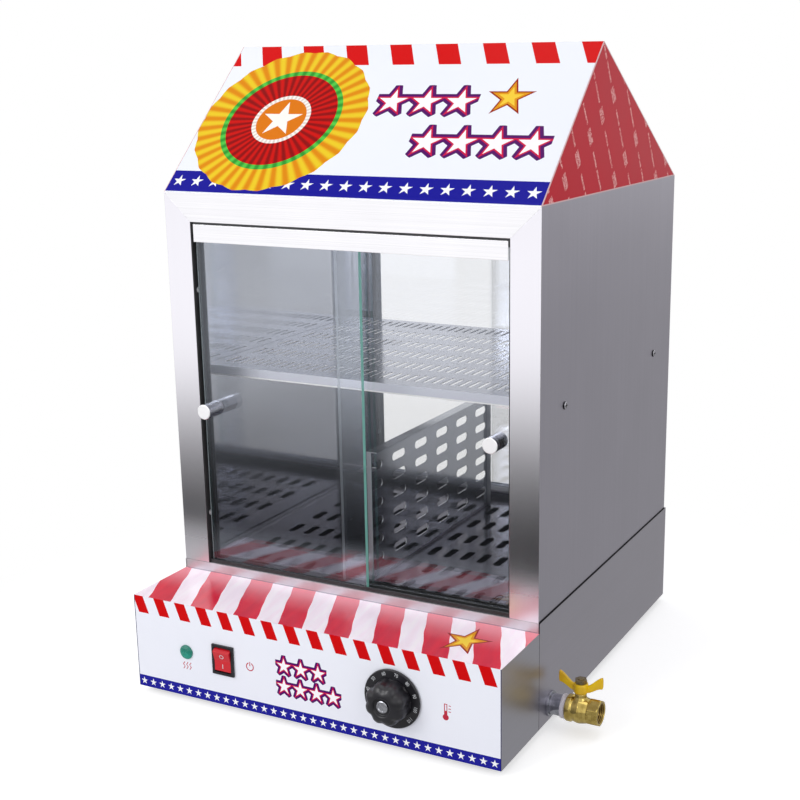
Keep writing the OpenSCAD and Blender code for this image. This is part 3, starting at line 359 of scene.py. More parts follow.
# %% Stars and stripes as sums
WEDGE = np.pi / 5
INNER = 0.38
EDGE = INNER * np.sin(WEDGE) / (1 - INNER * np.cos(WEDGE))


def star_depth(u, v, size):
    """How far inside a star of this size a place is, negative outside. Its first tip points along v."""
    fold = abs((u.angle(v) + WEDGE) % (2 * WEDGE) - WEDGE)
    reach = (u * u + v * v) ** 0.5
    return (size * EDGE - reach * (fold.sin() + fold.cos() * EDGE)) / np.hypot(1, EDGE)


def repeat(x, first, pitch):
    """The place within one repeat, counted from its middle. The first middle is at first."""
    return (x - (first - pitch / 2)) % pitch - pitch / 2


def star_row(x, v, first, pitch, size):
    return star_depth(repeat(x, first, pitch), v, size) > 0


def outlined_stars(g, base, x, v, first, pitch, size, count, rim):
    """A number of white stars with a red line and a purple rim, laid over a base colour."""
    u = repeat(x, first, pitch)
    allowed = abs(x - (first + pitch * (count - 1) / 2)) < pitch * count / 2
    depth = star_depth(u, v, size)
    near = ((u * u + v * v) ** 0.5 < size + rim * 1.1) & allowed
    shown = g.mix((depth > -rim) & near, base, colour(84, 16, 100))
    shown = g.mix((depth > -rim * 0.32) & near, shown, colour(206, 22, 72))
    return g.mix((depth > 0) & near, shown, colour(252, 248, 252))


def gold_star(g, base, u, v, size):
    """One gold star with a paler middle and a thin dark red rim, laid over a base colour."""
    depth = star_depth(u, v, size)
    gold = g.mix(depth > 2.2, colour(226, 150, 20), colour(246, 206, 60))
    return g.mix(depth > 0, g.mix(depth > -1.6, base, colour(150, 20, 12)), gold)


print("a wedge's edge leans by", round(float(EDGE), 3))

# %% [markdown]
# On the left of the hood is a big pleated rosette, as on bunting. Its pleats are a wave round the
# centre, its outline is scalloped by the same wave, and its rings are plain radii.


# %% A pleated rosette
def rosette(g, base, u, v, size, pleats=40):
    """Rings of pleats round a centre: colour follows the radius, light follows a wave in the angle."""
    reach = (u * u + v * v) ** 0.5 / size
    turn = u.angle(v) * (pleats / (2 * np.pi))
    wave = abs(turn % 1 - 0.5) * 2
    edge = 1 - abs((turn * 0.5) % 1 - 0.5) * 0.05
    rings = [
        (1.0, colour(236, 202, 40), colour(224, 138, 14)),
        (0.70, colour(84, 200, 72), colour(48, 150, 50)),
        (0.64, colour(206, 14, 8), colour(140, 6, 8)),
        (0.34, colour(250, 246, 240), colour(226, 214, 206)),
        (0.29, colour(222, 120, 16), colour(222, 120, 16)),
    ]
    shown = base
    for radius, light, dark in rings:
        inside = reach < (edge if radius == 1.0 else radius)
        shown = g.mix(inside, shown, g.mix(wave.smooth(0.15, 0.85), light, dark))
    centre = star_depth(u, v, size * 0.25) > 0
    return g.mix(centre, shown, colour(250, 246, 240))


print("rosette drawn with 40 pleats")

# %% [markdown]
# The hood's film has one print over both slopes: slanting stripes fall from the ridge, and the blue
# band runs along the eave. Both are counted down or up the slope, so the height is stretched by how
# far the slope runs for each millimetre that it falls. The rosette and the stars are on the front.


# %% Hood film
def film_surface(g, print_colour, gloss=0.22):
    """Printed film over sheet steel: faint orange peel under a clear gloss."""
    x, y, z = g.place()
    peel = g.noise(g.vector(x, y, z), 0.35, 3.0)
    slow = g.noise(g.vector(x, y, z), 0.02, 2.0)
    return {
        "roughness": (gloss + (slow - 0.5) * 0.12).clamp(0.05, 0.9),
        "normal": g.bump(peel, 0.05, 0.00004, g.rounded(0.0004)),
        "color": print_colour, "specular": 0.06,
    }


def hood_print():
    g = Graph("hood_print")
    x, y, z = g.place()
    front = y < RIDGE_BACK
    front_run = np.hypot(RIDGE_BACK, RIDGE - EAVE) / (RIDGE - EAVE)
    rear_run = np.hypot(DEPTH - RIDGE_BACK, RIDGE - EAVE) / (RIDGE - EAVE)
    stretch = front * (front_run - rear_run) + rear_run
    up, down = (z - EAVE) * stretch, (RIDGE - z) * stretch
    shown = g.mix(g.noise(g.vector(x, y, z), 0.01), colour(238, 241, 251), colour(243, 245, 252))
    first, pitch, width, lean, fall = -77.1, 51.9, 24.6, 0.488, 28.7
    stripe = ((x - down * lean - first) % pitch < width) & (down < fall)
    shown = g.mix(stripe, shown, colour(214, 8, 10))
    band = (up < 28.5) & (up > 1.3)
    shown = g.mix(band, shown, colour(24, 22, 150))
    shown = g.mix(star_row(x, up - 15.0, 193.0, 21.46, 7.6) & band, shown, colour(250, 250, 252))
    art = rosette(g, shown, x + 110, up - 100, 96)
    art = outlined_stars(g, art, x, up - 125, 8.0, 37.0, 16.5, 3, 5.4)
    art = outlined_stars(g, art, x, up - 73, 64.0, 36.5, 16.5, 4, 5.4)
    art = gold_star(g, art, x - 132, up - 131, 21)
    return g.finish(**film_surface(g, g.mix(front, shown, art)))


hood_film = hood_print()
print("hood film has", len(hood_film.node_tree.nodes), "nodes")

# %% [markdown]
# The gables carry red film with pale dashes that lean with the roof. Two thin dashes and one broad
# one repeat along each line, in columns that lie side by side.


# %% Gable film
def gable_print():
    g = Graph("gable_print")
    x, y, z = g.place()
    h = z - EAVE
    middle_y, middle_h, pitch, cycle = 145.3, 72.8, 35.7, 74.0
    lean, level = 0.518, 0.855
    along = (y - middle_y) * lean - (h - middle_h) * level
    across = (y - middle_y) * level + (h - middle_h) * lean
    column = repeat(across, 0, pitch)
    step = (along + 8) % cycle
    broad = (step < 16) & (abs(column) < 4.5)
    thin = ((step > 25) & (step < 42.5)) | ((step > 45.5) & (step < 68))
    dash = broad | (thin & (abs(column) < 1.6))
    worn = g.noise(g.vector(x, y, z), 0.9, 2.0).smooth(0.42, 0.55)
    ground = g.mix(g.noise(g.vector(x, y, z), 0.02), colour(196, 18, 40), colour(207, 26, 48))
    shown = g.mix(dash * worn, ground, colour(246, 178, 176))
    front_edge = (y * (RIDGE - EAVE) / RIDGE_BACK - h) * 0.724
    rear_edge = ((DEPTH - y) * (RIDGE - EAVE) / (DEPTH - RIDGE_BACK) - h) * 0.855
    rim_width = 1.2
    rim = (front_edge < rim_width) | (rear_edge < rim_width) | (h < rim_width)
    shown = g.mix(rim, shown, colour(226, 190, 192))
    return g.finish(**film_surface(g, shown, 0.3))


gable_film = gable_print()
print("gable film made")

# %% [markdown]
# The control panel's film wraps over the top edge: broad stripes above, a short fringe of stripes
# under the fold, and the blue band with small stars at the foot. Small signs stand where the
# controls are: rising heat under the lamp, the power sign by the switch and a thermometer by the
# dial. The box's sides and inside stay steel, and the riser behind the lid is polished. The lid lies
# flat under the doors, where the glass throws light on it, so it is given a faint glow of painted
# light, and its red is painted paler towards the riser, a painted reflection.


# %% Small signs as sums
def heat_sign(u, v):
    """Three upright wavy lines: the sideways place is bent by a sine of the height."""
    bent = (u + (v * 1.25).sin() * 0.75 + 1.9) % 3.8 - 1.9
    return (abs(bent) < 0.5) & (abs(u) < 5.5) & (abs(v) < 3.9)


def power_sign(u, v):
    """A ring with a gap at its top and an upright bar in the gap."""
    reach = (u * u + v * v) ** 0.5
    ring = (abs(reach - 4.0) < 0.55) & ((abs(u) > 1.5) | (v < 0))
    return ring | ((abs(u) < 0.5) & (v > 0.6) & (v < 5.2))


def thermometer_sign(u, v):
    """A bulb with a stem over it, hollow in the upper part, and three short marks at its side."""
    bulb = (u * u + (v + 5.5) * (v + 5.5)) ** 0.5 < 3.1
    stem = (abs(u) < 1.7) & (v > -5) & (v < 8)
    hollow = (abs(u) < 0.8) & (v > 1.0) & (v < 7.2)
    marks = (abs(u - 4.2) < 1.3) & (abs((v + 10) % 3 - 1.5) < 0.4) & (v > -2) & (v < 7)
    return bulb | (stem - hollow).clamp(0, 1) | marks


print("three signs ready")


# %% Control film
def control_print():
    """Front and lid are printed. The rest is steel, told apart by place and direction."""
    g = Graph("control_print")
    x, y, z = g.place()
    ny, nz = g.facing()[1:]
    front = (ny < -0.5) & (y < -CONTROL_DEPTH + 0.4)
    top = (nz > 0.5) & (z > CONTROL_HEIGHT - 0.4) & (z < CONTROL_HEIGHT + 1)
    printed = front | top
    speck = g.noise(g.vector(x, y, z), 0.01)
    face = g.mix(speck, colour(236, 238, 248), colour(241, 242, 250))
    first, pitch, width, lean, fold, foot = -207.2, 26.02, 12.6, 0.377, 99.5, 82.0
    fringe = ((x - (fold - z) * lean - first) % pitch < width) & (z > foot)
    face = g.mix(fringe, face, colour(208, 8, 12))
    band = z < 12.4
    face = g.mix(band, face, colour(34, 34, 150))
    face = g.mix(star_row(x, z - 6.1, -199.5, 11.4, 4.2) & band, face, colour(250, 250, 252))
    face = outlined_stars(g, face, x, z - 56.5, -26.0, 19.5, 8.2, 3, 3.2)
    face = outlined_stars(g, face, x, z - 35.0, -26.5, 18.6, 8.2, 4, 3.2)
    signs = heat_sign(x + 143, z - 34) | power_sign(x + 66, z - 48) | thermometer_sign(x - 150, z - 47)
    face = g.mix(signs, face, colour(190, 50, 70))
    face = g.mix(abs(x) > HALF_WIDTH + 0.2, face, colour(30, 32, 90))
    ripple = ((y * 0.11).sin() + (y * 0.23 + x * 0.05).sin() * 0.6) * 0.4
    first, pitch, width, lean = -187.2, 52.1, 27.3, 38.3 / CONTROL_DEPTH
    slant = (x + ripple + (y + CONTROL_DEPTH) * lean - first) % pitch
    folds = g.noise(g.vector(x * 1.6 + y * 0.3, y * 0.25, 0.0), 0.06, 2.0).smooth(0.3, 0.7)
    cloth = g.mix(folds, colour(216, 34, 60), colour(202, 30, 58))
    # Painted reflection: the red is paler towards the riser.
    cloth = g.mix(y.smooth(-58, -2) * 0.8, cloth, colour(236, 150, 162))
    white = g.mix(folds, colour(252, 240, 248), colour(244, 228, 240))
    lid = gold_star(g, g.mix(slant < width, white, cloth), x - 150, (y + 44) * 0.8, 20)
    lines = g.noise(g.vector(x * 0.9, y * 0.006, z * 0.9), 1.0, 3.0)
    riser, slow = z > CONTROL_HEIGHT + 1, g.noise(g.vector(x, y, z), 0.06, 3.0)
    steel = g.mix(lines, colour(158, 157, 166), colour(172, 171, 180))
    steel = g.mix(riser, steel, g.mix(slow, colour(198, 195, 201), colour(222, 220, 226)))
    film = film_surface(g, g.mix(top, face, lid))
    film["color"] = g.mix(printed, steel, film["color"])
    bare = 0.34 + riser * 0.12 + (lines - 0.5) * 0.1
    film["roughness"] = film["roughness"] * printed + bare * (1 - printed)
    # The lid glows faintly: painted light.
    return g.finish(metallic=1 - printed, glow=g.mix(top, colour(0, 0, 0), lid), glow_strength=0.14,
                    **film)


control_film = control_print()
print("control film has", len(control_film.node_tree.nodes), "nodes")

# %% [markdown]
# ## Glass
#
# Each door is one pane of 5 mm float glass. Light bent by thick glass takes long to work out and
# leaves a dark inside, so the big faces are clear with a thin mirror whose strength follows the
# angle, as in real glass. The cut edges are where its green shows, but those in the seals are dark.
# Edges facing left are painted pale, a painted highlight, and the open ones facing right glow
# faintly green, painted light.
# A ray inside the pane meets an edge from behind, where the surface's direction reads reversed, so
# the direction is multiplied by one less twice the back-facing flag.


# %% Door glass
GLASS_IOR, OVERLAP_HALF, OUTER_BACK = 1.5, 16.0, 5.4


def door_glass(name):
    """Alpha = the mirror's strength and a little haze on the faces, more where two doors overlap,
    and on the edges nearly solid. Sealed edges, past half the opening, are dark and don't glow. Edges
    facing left and the front left pane's outer end are painted pale, a painted highlight, and the open
    edges facing right glow green, painted light."""
    g = Graph(name)
    x, y, z = g.place()
    nx, ny, nz = g.facing()
    edge = abs(ny) < 0.5
    back = Value(g, g.node("ShaderNodeNewGeometry").outputs["Backfacing"])
    side = nx * (1 - 2 * back)
    shine = g.number("ShaderNodeFresnel", None, {"IOR": GLASS_IOR * (1 - back) + back / GLASS_IOR})
    smear = g.noise(g.vector(x, y, z), 0.02, 4.0)
    polish = g.noise(g.vector(x * 0.5, y * 0.5, z * 0.1), 1.0, 3.0)
    rear = y > DEPTH / 2
    sealed = (abs(x) > OPENING_HALF / 2) | (abs(nz) > 0.5)
    green = g.mix(polish, colour(104, 180, 166), colour(150, 212, 198))
    # Edges facing left: painted pale, a painted highlight.
    tint = g.mix(side < 0, green, colour(214, 224, 228))
    tint = g.mix(sealed, tint, colour(30, 44, 44))
    # The front left pane's outer end: painted pale, a painted highlight.
    outer = (x < -OPENING_HALF / 2) & (y < OUTER_BACK) & (abs(nz) < 0.5)
    tint = g.mix(outer, tint, colour(190, 205, 208))
    see = 0.92 - (side < 0) * (1 - sealed) * 0.40 - (rear | (abs(nz) > 0.5)) * 0.35
    # Open edges facing right glow green: painted light.
    glowing_edges = edge & (side > 0.5) & (1 - rear) & (1 - sealed)
    film = shine + 0.045 + (abs(x) < OVERLAP_HALF) * 0.05 + smear * 0.01
    return g.finish(
        color=g.mix(edge, colour(225, 232, 246), tint), metallic=1 - edge,
        roughness=(0.012 + smear * 0.012 + edge * 0.2),
        alpha=(film * (1 - edge) + edge * see).clamp(0, 1),
        ior=GLASS_IOR, glow=g.mix(glowing_edges, colour(0, 0, 0), green), glow_strength=0.12,
    )


glass = door_glass("door_glass")
print("door glass made")

# %% [markdown]
# ## Small parts
#
# Rubber, plastics, paint, brass and turned steel each get the marks that making and use leave on
# them: fine pits on mouldings, and turning lines on round metal, which run round its own axis.


# %% Moulded and turned finishes
def moulded(name, light, dark, rough, pit=0.6, depth=0.12, gloss=0.0, edge=0.0003, rear=None):
    """A moulded piece: slow colour drift, fine pits and softened edges, painted paler at the rear if asked:
    painted light.
    """
    g = Graph(name)
    x, y, z = g.place()
    fine = g.noise(g.vector(x, y, z), pit, 4.0)
    slow = g.noise(g.vector(x, y, z), 0.05, 2.0)
    shown = g.mix(slow.smooth(0.3, 0.7), light, dark)
    if rear:
        # Painted light: the rear half takes the paler colour, where shade falls deep in the cabinet.
        shown = g.mix(y > DEPTH / 2, shown, rear)
    return g.finish(
        color=shown, roughness=(rough + (fine - 0.5) * 0.15 + (slow - 0.5) * 0.1).clamp(0.05, 0.95),
        normal=g.bump(fine, depth, 0.0001, g.rounded(edge)), coat=gloss,
    )


def turned(name, light, dark, rough, middle, axis="x", depth=0.15, edge=0.0003, bore=None, face=None):
    """A turned piece: rings round its axis, from noise on the distance to the axis and along it. A
    bore of a given radius is painted darker inside, a painted shade, and a face that looks forward can be
    satin."""
    g = Graph(name)
    place = dict(zip("xyz", g.place()))
    others = [place[a] - m for a, m in zip("xyz", middle) if a != axis]
    reach = (others[0] * others[0] + others[1] * others[1]) ** 0.5
    rings = g.noise(g.vector(reach * 4, place[axis] * 2.5, 0.0), 1.0, 4.0)
    slow = g.noise(g.vector(*place.values()), 0.12, 2.0)
    shown = g.mix((rings * 0.5 + slow * 0.5).smooth(0.35, 0.65), light, dark)
    satin = 0
    if bore:
        # Painted shade inside the bore.
        shown = g.mix(reach.smooth(bore + 0.9, bore - 0.3), shown, colour(96, 70, 36))
    if face:
        satin = g.facing()[1] < -0.5
        shown = g.mix(satin, shown, face)
    return g.finish(
        color=shown, metallic=1.0,
        roughness=(rough + (rings - 0.5) * 0.14 + (slow - 0.5) * 0.08 + satin * 0.34).clamp(0.04, 0.9),
        normal=g.bump(rings, depth, 0.00006, g.rounded(edge)),
    )


rubber = moulded("rubber", colour(36, 36, 38), colour(26, 26, 28), 0.72)
black_plastic = moulded("black_plastic", colour(27, 26, 33), colour(19, 18, 24), 0.34, 0.8, 0.06)
# The rear tracks are painted pale: painted light, where shade falls deep in the cabinet.
track_plastic = moulded("track_plastic", colour(40, 41, 44), colour(28, 29, 32), 0.45,
                        rear=colour(206, 208, 216))
red_plastic = moulded("red_plastic", colour(228, 22, 42), colour(206, 16, 34), 0.32, 0.6, 0.06, 0.1)
cream_plastic = moulded("cream_plastic", colour(222, 214, 190), colour(206, 196, 170), 0.5)
wire_cover = moulded("wire_cover", colour(150, 40, 30), colour(120, 28, 22), 0.45)
yellow_paint = moulded("yellow_paint", colour(255, 212, 0), colour(232, 180, 0), 0.34, 0.3, 0.20, 0.15)
tape_wrap = moulded("tape_wrap", colour(240, 236, 244), colour(218, 212, 222), 0.6, 0.5, 0.3)
lamp_green = moulded("lamp_green", colour(10, 156, 134), colour(6, 120, 102), 0.26, 0.4, 0.05, 0.3)
figures_white = moulded("figures_white", colour(226, 228, 232), colour(206, 208, 212), 0.5)
DRAIN_Y, DRAIN_Z = 28.0, 16.5
DRAIN = (0, DRAIN_Y, DRAIN_Z)
valve_brass = turned("valve_brass", colour(214, 190, 112), colour(160, 136, 70), 0.16, DRAIN, bore=9.6)
nipple_steel = turned("nipple_steel", colour(180, 181, 190), colour(114, 115, 124), 0.10, DRAIN)
print("small finishes made")

# %% [markdown]
# Cast, drawn and stamped pieces have no turning lines. Their wear follows one fine noise, paler where
# it stands high. The door knobs are turned about their own axes, with a satin face to the front.


# %% Metal that isn't turned round the drain
def plain_metal(name, light, dark, rough, scale=0.3, depth=0.1):
    """Cast, drawn or stamped metal: its own fine noise, worn lighter where the noise is high."""
    g = Graph(name)
    x, y, z = g.place()
    fine = g.noise(g.vector(x, y, z), scale, 5.0, 0.6)
    slow = g.noise(g.vector(x, y, z), 0.06, 2.0)
    return g.finish(
        color=g.mix((fine * 0.5 + slow * 0.5).smooth(0.35, 0.65), light, dark), metallic=1.0,
        roughness=(rough + (fine - 0.5) * 0.2).clamp(0.04, 0.9),
        normal=g.bump(fine, depth, 0.00008, g.rounded(0.0003)),
    )


fastener = plain_metal("fastener", colour(186, 187, 194), colour(160, 161, 168), 0.24)
nut_brass = plain_metal("nut_brass", colour(150, 136, 104), colour(96, 84, 62), 0.3)
fitting_brass = plain_metal("fitting_brass", colour(204, 172, 92), colour(172, 138, 62), 0.3)
bulb_copper = plain_metal("bulb_copper", colour(206, 128, 92), colour(170, 96, 64), 0.28)
tube_steel = plain_metal("tube_steel", colour(104, 98, 94), colour(78, 72, 70), 0.42, 0.15)
KNOB_HEIGHT = 281.5
knob_steels = {}
for side, knob_x in (("left", -156.0), ("right", 160.0)):
    knob_steels[side] = turned(f"knob_steel_{side}", colour(222, 222, 227), colour(194, 194, 201), 0.26,
                               (knob_x, 0, KNOB_HEIGHT), "y", 0.25, face=colour(250, 250, 252))
print("metals made")

# %% [markdown]
# The shelf is held by four pan head screws, two through each side. Their recess is too small to be
# worth cutting, so its shade is painted: two dark bars that cross at the nearer screw's middle, and
# painted shade round the head's edge.


# %% Screw heads on the sides
SCREW_FRONT, SCREW_REAR, SCREW_HEIGHT = 59.5, 322.0, 308.5
RECESS_REACH, HEAD_EDGE = 2.7, 3.55


def cross_heads():
    """Pan heads with a painted shade for the cross recess: two dark bars across the place counted from
    the nearer screw, and painted shade past the head's edge.
    """
    g = Graph("cross_heads")
    x, y, z = g.place()
    nearer = y - SCREW_FRONT - (y > DEPTH / 2) * (SCREW_REAR - SCREW_FRONT)
    up = z - SCREW_HEIGHT
    reach = (nearer * nearer + up * up) ** 0.5
    cross = ((abs(nearer) < 0.6) | (abs(up) < 0.6)) & (reach < RECESS_REACH)
    grain = g.noise(g.vector(x, y, z), 0.8, 3.0)
    shown = g.mix(grain, colour(196, 195, 202), colour(150, 149, 156))
    # Painted shade: the cross recess and the ring past the head's edge.
    shown = g.mix(cross | (reach > HEAD_EDGE), shown, colour(34, 32, 36))
    return g.finish(color=shown, metallic=1.0, roughness=(0.2 + grain * 0.2 + cross * 0.4),
                    normal=g.bump(grain, 0.1, 0.00008))


cross_head = cross_heads()
print("screw heads made")

# %% [markdown]
# The small bumpers on the jambs are clear soft plastic. They are half see-through, a little cloudy
# where the noise is high, and need no bending of light at their size.


# %% Clear bumpers
def clear_rubber():
    """Alpha, colour and roughness all follow one slow noise."""
    g = Graph("clear_rubber")
    x, y, z = g.place()
    cloud = g.noise(g.vector(x, y, z), 0.4, 2.0)
    return g.finish(color=g.mix(cloud, colour(236, 238, 240), colour(214, 218, 222)),
                    roughness=(0.16 + cloud * 0.1), alpha=(0.5 + cloud * 0.15),
                    normal=g.bump(cloud, 0.1, 0.0001))


clear_plastic = clear_rubber()
print("clear bumpers made")

# %% [markdown]
# ## Giving every solid its finish
#
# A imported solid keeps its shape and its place. Only its material slots are filled.

# %% Finishes by solid
FINISHES = {
    housing_steel: ["base_housing"],
    panel_steel: ["bottom_plate", "support_rails"],
    folded_steel: ["left_side_panel", "right_side_panel"],
    rail_steel: ["top_rails", "headers"],
    mirror_steel: ["ceiling_panel"],
    tank_steel: ["water_tank"],
    divider_steel: ["divider"],
    shelf_steel: ["upper_shelf"],
    tray_steel: ["steam_tray"],
    control_film: ["control_box"],
    hood_film: ["roof_cover"],
    gable_film: ["left_gable", "right_gable"],
    rubber: ["feet", "jamb_seals", "cord_gland"],
    fastener: ["foot_screws", "thermostat_shaft", "knob_cap", "front_left_screw",
               "front_right_screw", "rear_left_screw", "rear_right_screw", "valve_ball"],
    cross_head: ["shelf_screws"],
    nut_brass: ["valve_stem", "handle_nut"],
    nipple_steel: ["drain_nipple", "drain_flange"],
    tube_steel: ["heating_element"],
    fitting_brass: ["heater_nuts", "bulb_gland"],
    bulb_copper: ["thermostat_bulb"],
    black_plastic: ["thermostat_body", "dial_skirt", "thermostat_knob", "lamp_body", "switch_housing"],
    lamp_green: ["lamp_lens"],
    red_plastic: ["switch_rocker"],
    cream_plastic: ["terminal_block"],
    wire_cover: ["wiring_loom"],
    track_plastic: ["upper_tracks", "lower_tracks"],
    clear_plastic: ["door_bumpers"],
    glass: ["front_left_glass", "front_right_glass", "rear_left_glass", "rear_right_glass"],
    knob_steels["left"]: ["front_left_knob", "rear_left_knob"],
    knob_steels["right"]: ["front_right_knob", "rear_right_knob"],
    tape_wrap: ["thread_tape"],
    valve_brass: ["valve_body", "valve_end"],
    yellow_paint: ["valve_handle"],
}
dressed = set()
for material, names in FINISHES.items():
    for name in names:
        nodes[name].data.materials.clear()
        nodes[name].data.materials.append(material)
        dressed.add(name)
print("dressed", len(dressed), "of", len(nodes), "left", sorted(set(nodes) - dressed))

# %% [markdown]
# ## Pieces as surfaces
#
# Round and moulded pieces are worked out as grids of points. One helper turns grids into a closed
# piece: it joins neighbours into faces, closes poles and seams by merging what lies together, and
# turns every face outwards by the sign of the volume.


# %% Grids into one closed piece
def piece(name, grids, finish, body, stands_for=(), crease=35):
    """Builds a mesh from grids of points, rows by columns by 3, in millimetres on the cabinet.
    Each grid is closed in its columns. A face joins four neighbours. Edges sharper than the crease,
    in degrees, stay sharp."""
    points, faces = [], []
    start = 0
    for grid in grids:
        grid = metres(grid)
        rows, columns = grid.shape[:2]
        index = start + np.arange(rows * columns).reshape(rows, columns)
        ahead = np.roll(index, -1, axis=1)
        quads = np.stack([index[:-1], ahead[:-1], ahead[1:], index[1:]], -1).reshape(-1, 4)
        flat = grid.reshape(-1, 3)
        a, b, c, d = (flat[quads[:, k] - start] for k in range(4))
        volume = np.einsum("ij,ij->", a, np.cross(b, c)) + np.einsum("ij,ij->", a, np.cross(c, d))
        faces.append(quads if volume > 0 else quads[:, ::-1])
        points.append(flat)
        start += rows * columns
    mesh = bpy.data.meshes.new(name)
    mesh.from_pydata(np.concatenate(points).tolist(), [], np.concatenate(faces).tolist())
    work = bmesh.new()
    work.from_mesh(mesh)
    bmesh.ops.remove_doubles(work, verts=work.verts, dist=2e-6)
    bmesh.ops.dissolve_degenerate(work, edges=work.edges, dist=1e-7)
    open_edges = sum(1 for e in work.edges if not e.is_manifold)
    work.to_mesh(mesh)
    work.free()
    mesh.shade_smooth()
    mesh.set_sharp_from_angle(angle=np.radians(crease))
    made = bpy.data.objects.new(name, mesh)
    bpy.context.collection.objects.link(made)
    mesh.materials.append(finish)
    if stands_for:
        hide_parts(*stands_for)
    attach(made, body)
    print(name, len(mesh.polygons), "faces,", open_edges, "open edges")


def round_about(profile, middle, axis, count=96):
    """Carries a profile of (place along the axis, radius) round the axis through middle."""
    profile = np.asarray(profile, float)
    turn = np.linspace(0, 2 * np.pi, count, endpoint=False)
    along = np.repeat(profile[:, :1], count, 1)
    across, up = profile[:, 1:] * np.cos(turn), profile[:, 1:] * np.sin(turn)
    axes = {"x": (along, across, up), "y": (across, along, up), "z": (across, up, along)}[axis]
    return np.stack(axes, -1) + np.asarray(middle, float)


def softened(profile, radius, steps=4):
    """Rounds each inner corner of a profile by a short curve between points set back on its sides."""
    p = np.asarray(profile, float)
    made = [p[0]]
    for before, corner, after in zip(p[:-2], p[1:-1], p[2:]):
        back, ahead = before - corner, after - corner
        reach_back, reach_ahead = np.linalg.norm(back), np.linalg.norm(ahead)
        cut = min(radius, reach_back * 0.45, reach_ahead * 0.45)
        first, last = corner + back / reach_back * cut, corner + ahead / reach_ahead * cut
        t = np.linspace(0, 1, steps)[:, None]
        made.extend((1 - t) ** 2 * first + 2 * t * (1 - t) * corner + t ** 2 * last)
    made.append(p[-1])
    return np.array(made)


print("surface helpers ready")

# %% [markdown]
# ### The thermostat's knob
#
# The knob is moulded in black. Its rim has eight shallow finger hollows that fade towards the
# crowned nose, and a ring recess holds the bright cap. One turned surface does it: the radius at
# each height is drawn in by a wave of the angle, strongest at mid height.

# %% Knob
DIAL = np.array([95.0, 0.0, 49.0])
SKIRT_FACE, HOLLOWS, HOLLOW = -89.0, 8, 1.9


def knob_surface(count=192):
    """Radius = profile - hollow x wave, where the wave is a raised cosine of 8 times the angle and
    the hollow fades in over the foot and out over the crown. The profile is (height, radius)."""
    profile = softened([
        (0, 3.1), (0, 20.4), (1.0, 21.5), (9.0, 21.4), (13.5, 20.7), (16.8, 18.6), (18.9, 15.2),
        (19.8, 11.8), (20.0, 9.9), (19.4, 9.0), (17.9, 8.5), (17.6, 6.2), (15.9, 6.15), (15.9, 3.1), (0, 3.1),
    ], 1.2, 6)
    height, radius = profile[:, :1], profile[:, 1:]
    turn = np.linspace(0, 2 * np.pi, count, endpoint=False)[None, :]
    wave = (0.5 + 0.5 * np.cos(HOLLOWS * turn + np.pi / HOLLOWS)) ** 1.5
    fade = np.clip(height / 1.5, 0, 1) * np.clip((radius - 11.5) / 6, 0, 1)
    radius = radius - HOLLOW * wave * fade
    grid = np.stack([radius * np.cos(turn), -height + 0 * turn, radius * np.sin(turn)], -1)
    return grid + DIAL + [0, SKIRT_FACE, 0]


piece("thermostat_grip", [knob_surface()], black_plastic, "thermostat_dial",
      ["thermostat_knob"], 50)

# %% [markdown]
# ### The dial's figures
#
# The skirt is printed with white figures from 30 to 110 and a row of dots inside them. Numbers on a
# dial are plain marks, so Blender's own letters are laid flat, turned to stand on the rim and made a
# mesh a tenth of a millimetre thick.

# %% Figures round the skirt
FIRST_ANGLE, FIGURE_STEP = 198, 30
FIGURE_RADIUS, DOT_RADIUS = 25.4, 21.6


def figure(text, size, angle, radius):
    """Letters centred at a radius, their feet to the axis, the face 0.05 mm proud of the skirt."""
    curve = bpy.data.curves.new("figure", "FONT")
    curve.body, curve.size, curve.extrude = text, size, 0.03
    curve.align_x, curve.align_y = "CENTER", "CENTER"
    made = bpy.data.objects.new("figure", curve)
    bpy.context.collection.objects.link(made)
    bpy.context.view_layer.update()
    mesh = bpy.data.meshes.new_from_object(made.evaluated_get(bpy.context.evaluated_depsgraph_get()))
    flat = np.empty(len(mesh.vertices) * 3)
    mesh.vertices.foreach_get("co", flat)
    flat = flat.reshape(-1, 3)
    c, s = np.cos(angle), np.sin(angle)
    right, up = flat[:, 0] * 0.82, flat[:, 1] + radius
    places = np.stack([right * s + up * c, -flat[:, 2], up * s - right * c], -1)
    mesh.vertices.foreach_set("co", metres(places + DIAL + [0, SKIRT_FACE - 0.02, 0]).ravel())
    bpy.data.objects.remove(made)
    return mesh


def joined(name, meshes, finish, body):
    """Several meshes as one piece that rides on a body."""
    work = bmesh.new()
    for mesh in meshes:
        work.from_mesh(mesh)
        bpy.data.meshes.remove(mesh)
    whole = bpy.data.meshes.new(name)
    work.to_mesh(whole)
    work.free()
    made = bpy.data.objects.new(name, whole)
    bpy.context.collection.objects.link(made)
    whole.materials.append(finish)
    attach(made, body)
    print(name, len(whole.polygons), "faces")


numbers = [str(n) for n in range(30, 111, 10)]
marks = [figure(text, 5.2, np.radians(FIRST_ANGLE - i * FIGURE_STEP), FIGURE_RADIUS)
         for i, text in enumerate(numbers)]
marks += [figure(".", 6.0, np.radians(FIRST_ANGLE - i * FIGURE_STEP / 2), DOT_RADIUS)
          for i in range(2 * len(numbers) - 1)]
joined("dial_figures", marks, figures_white, "thermostat_dial")

# %% [markdown]
# ### Marks on the rocker
#
# The switch carries the usual line and ring for on and off, moulded in white. The two marks are thin
# turned and boxed shapes laid on the rocker's two slopes.

# %% Rocker marks
SWITCH = np.array([-97.5, -82.0, 49.0])
SWING_HALF, SUNK, PROUD = 8.0, -0.1, 0.08


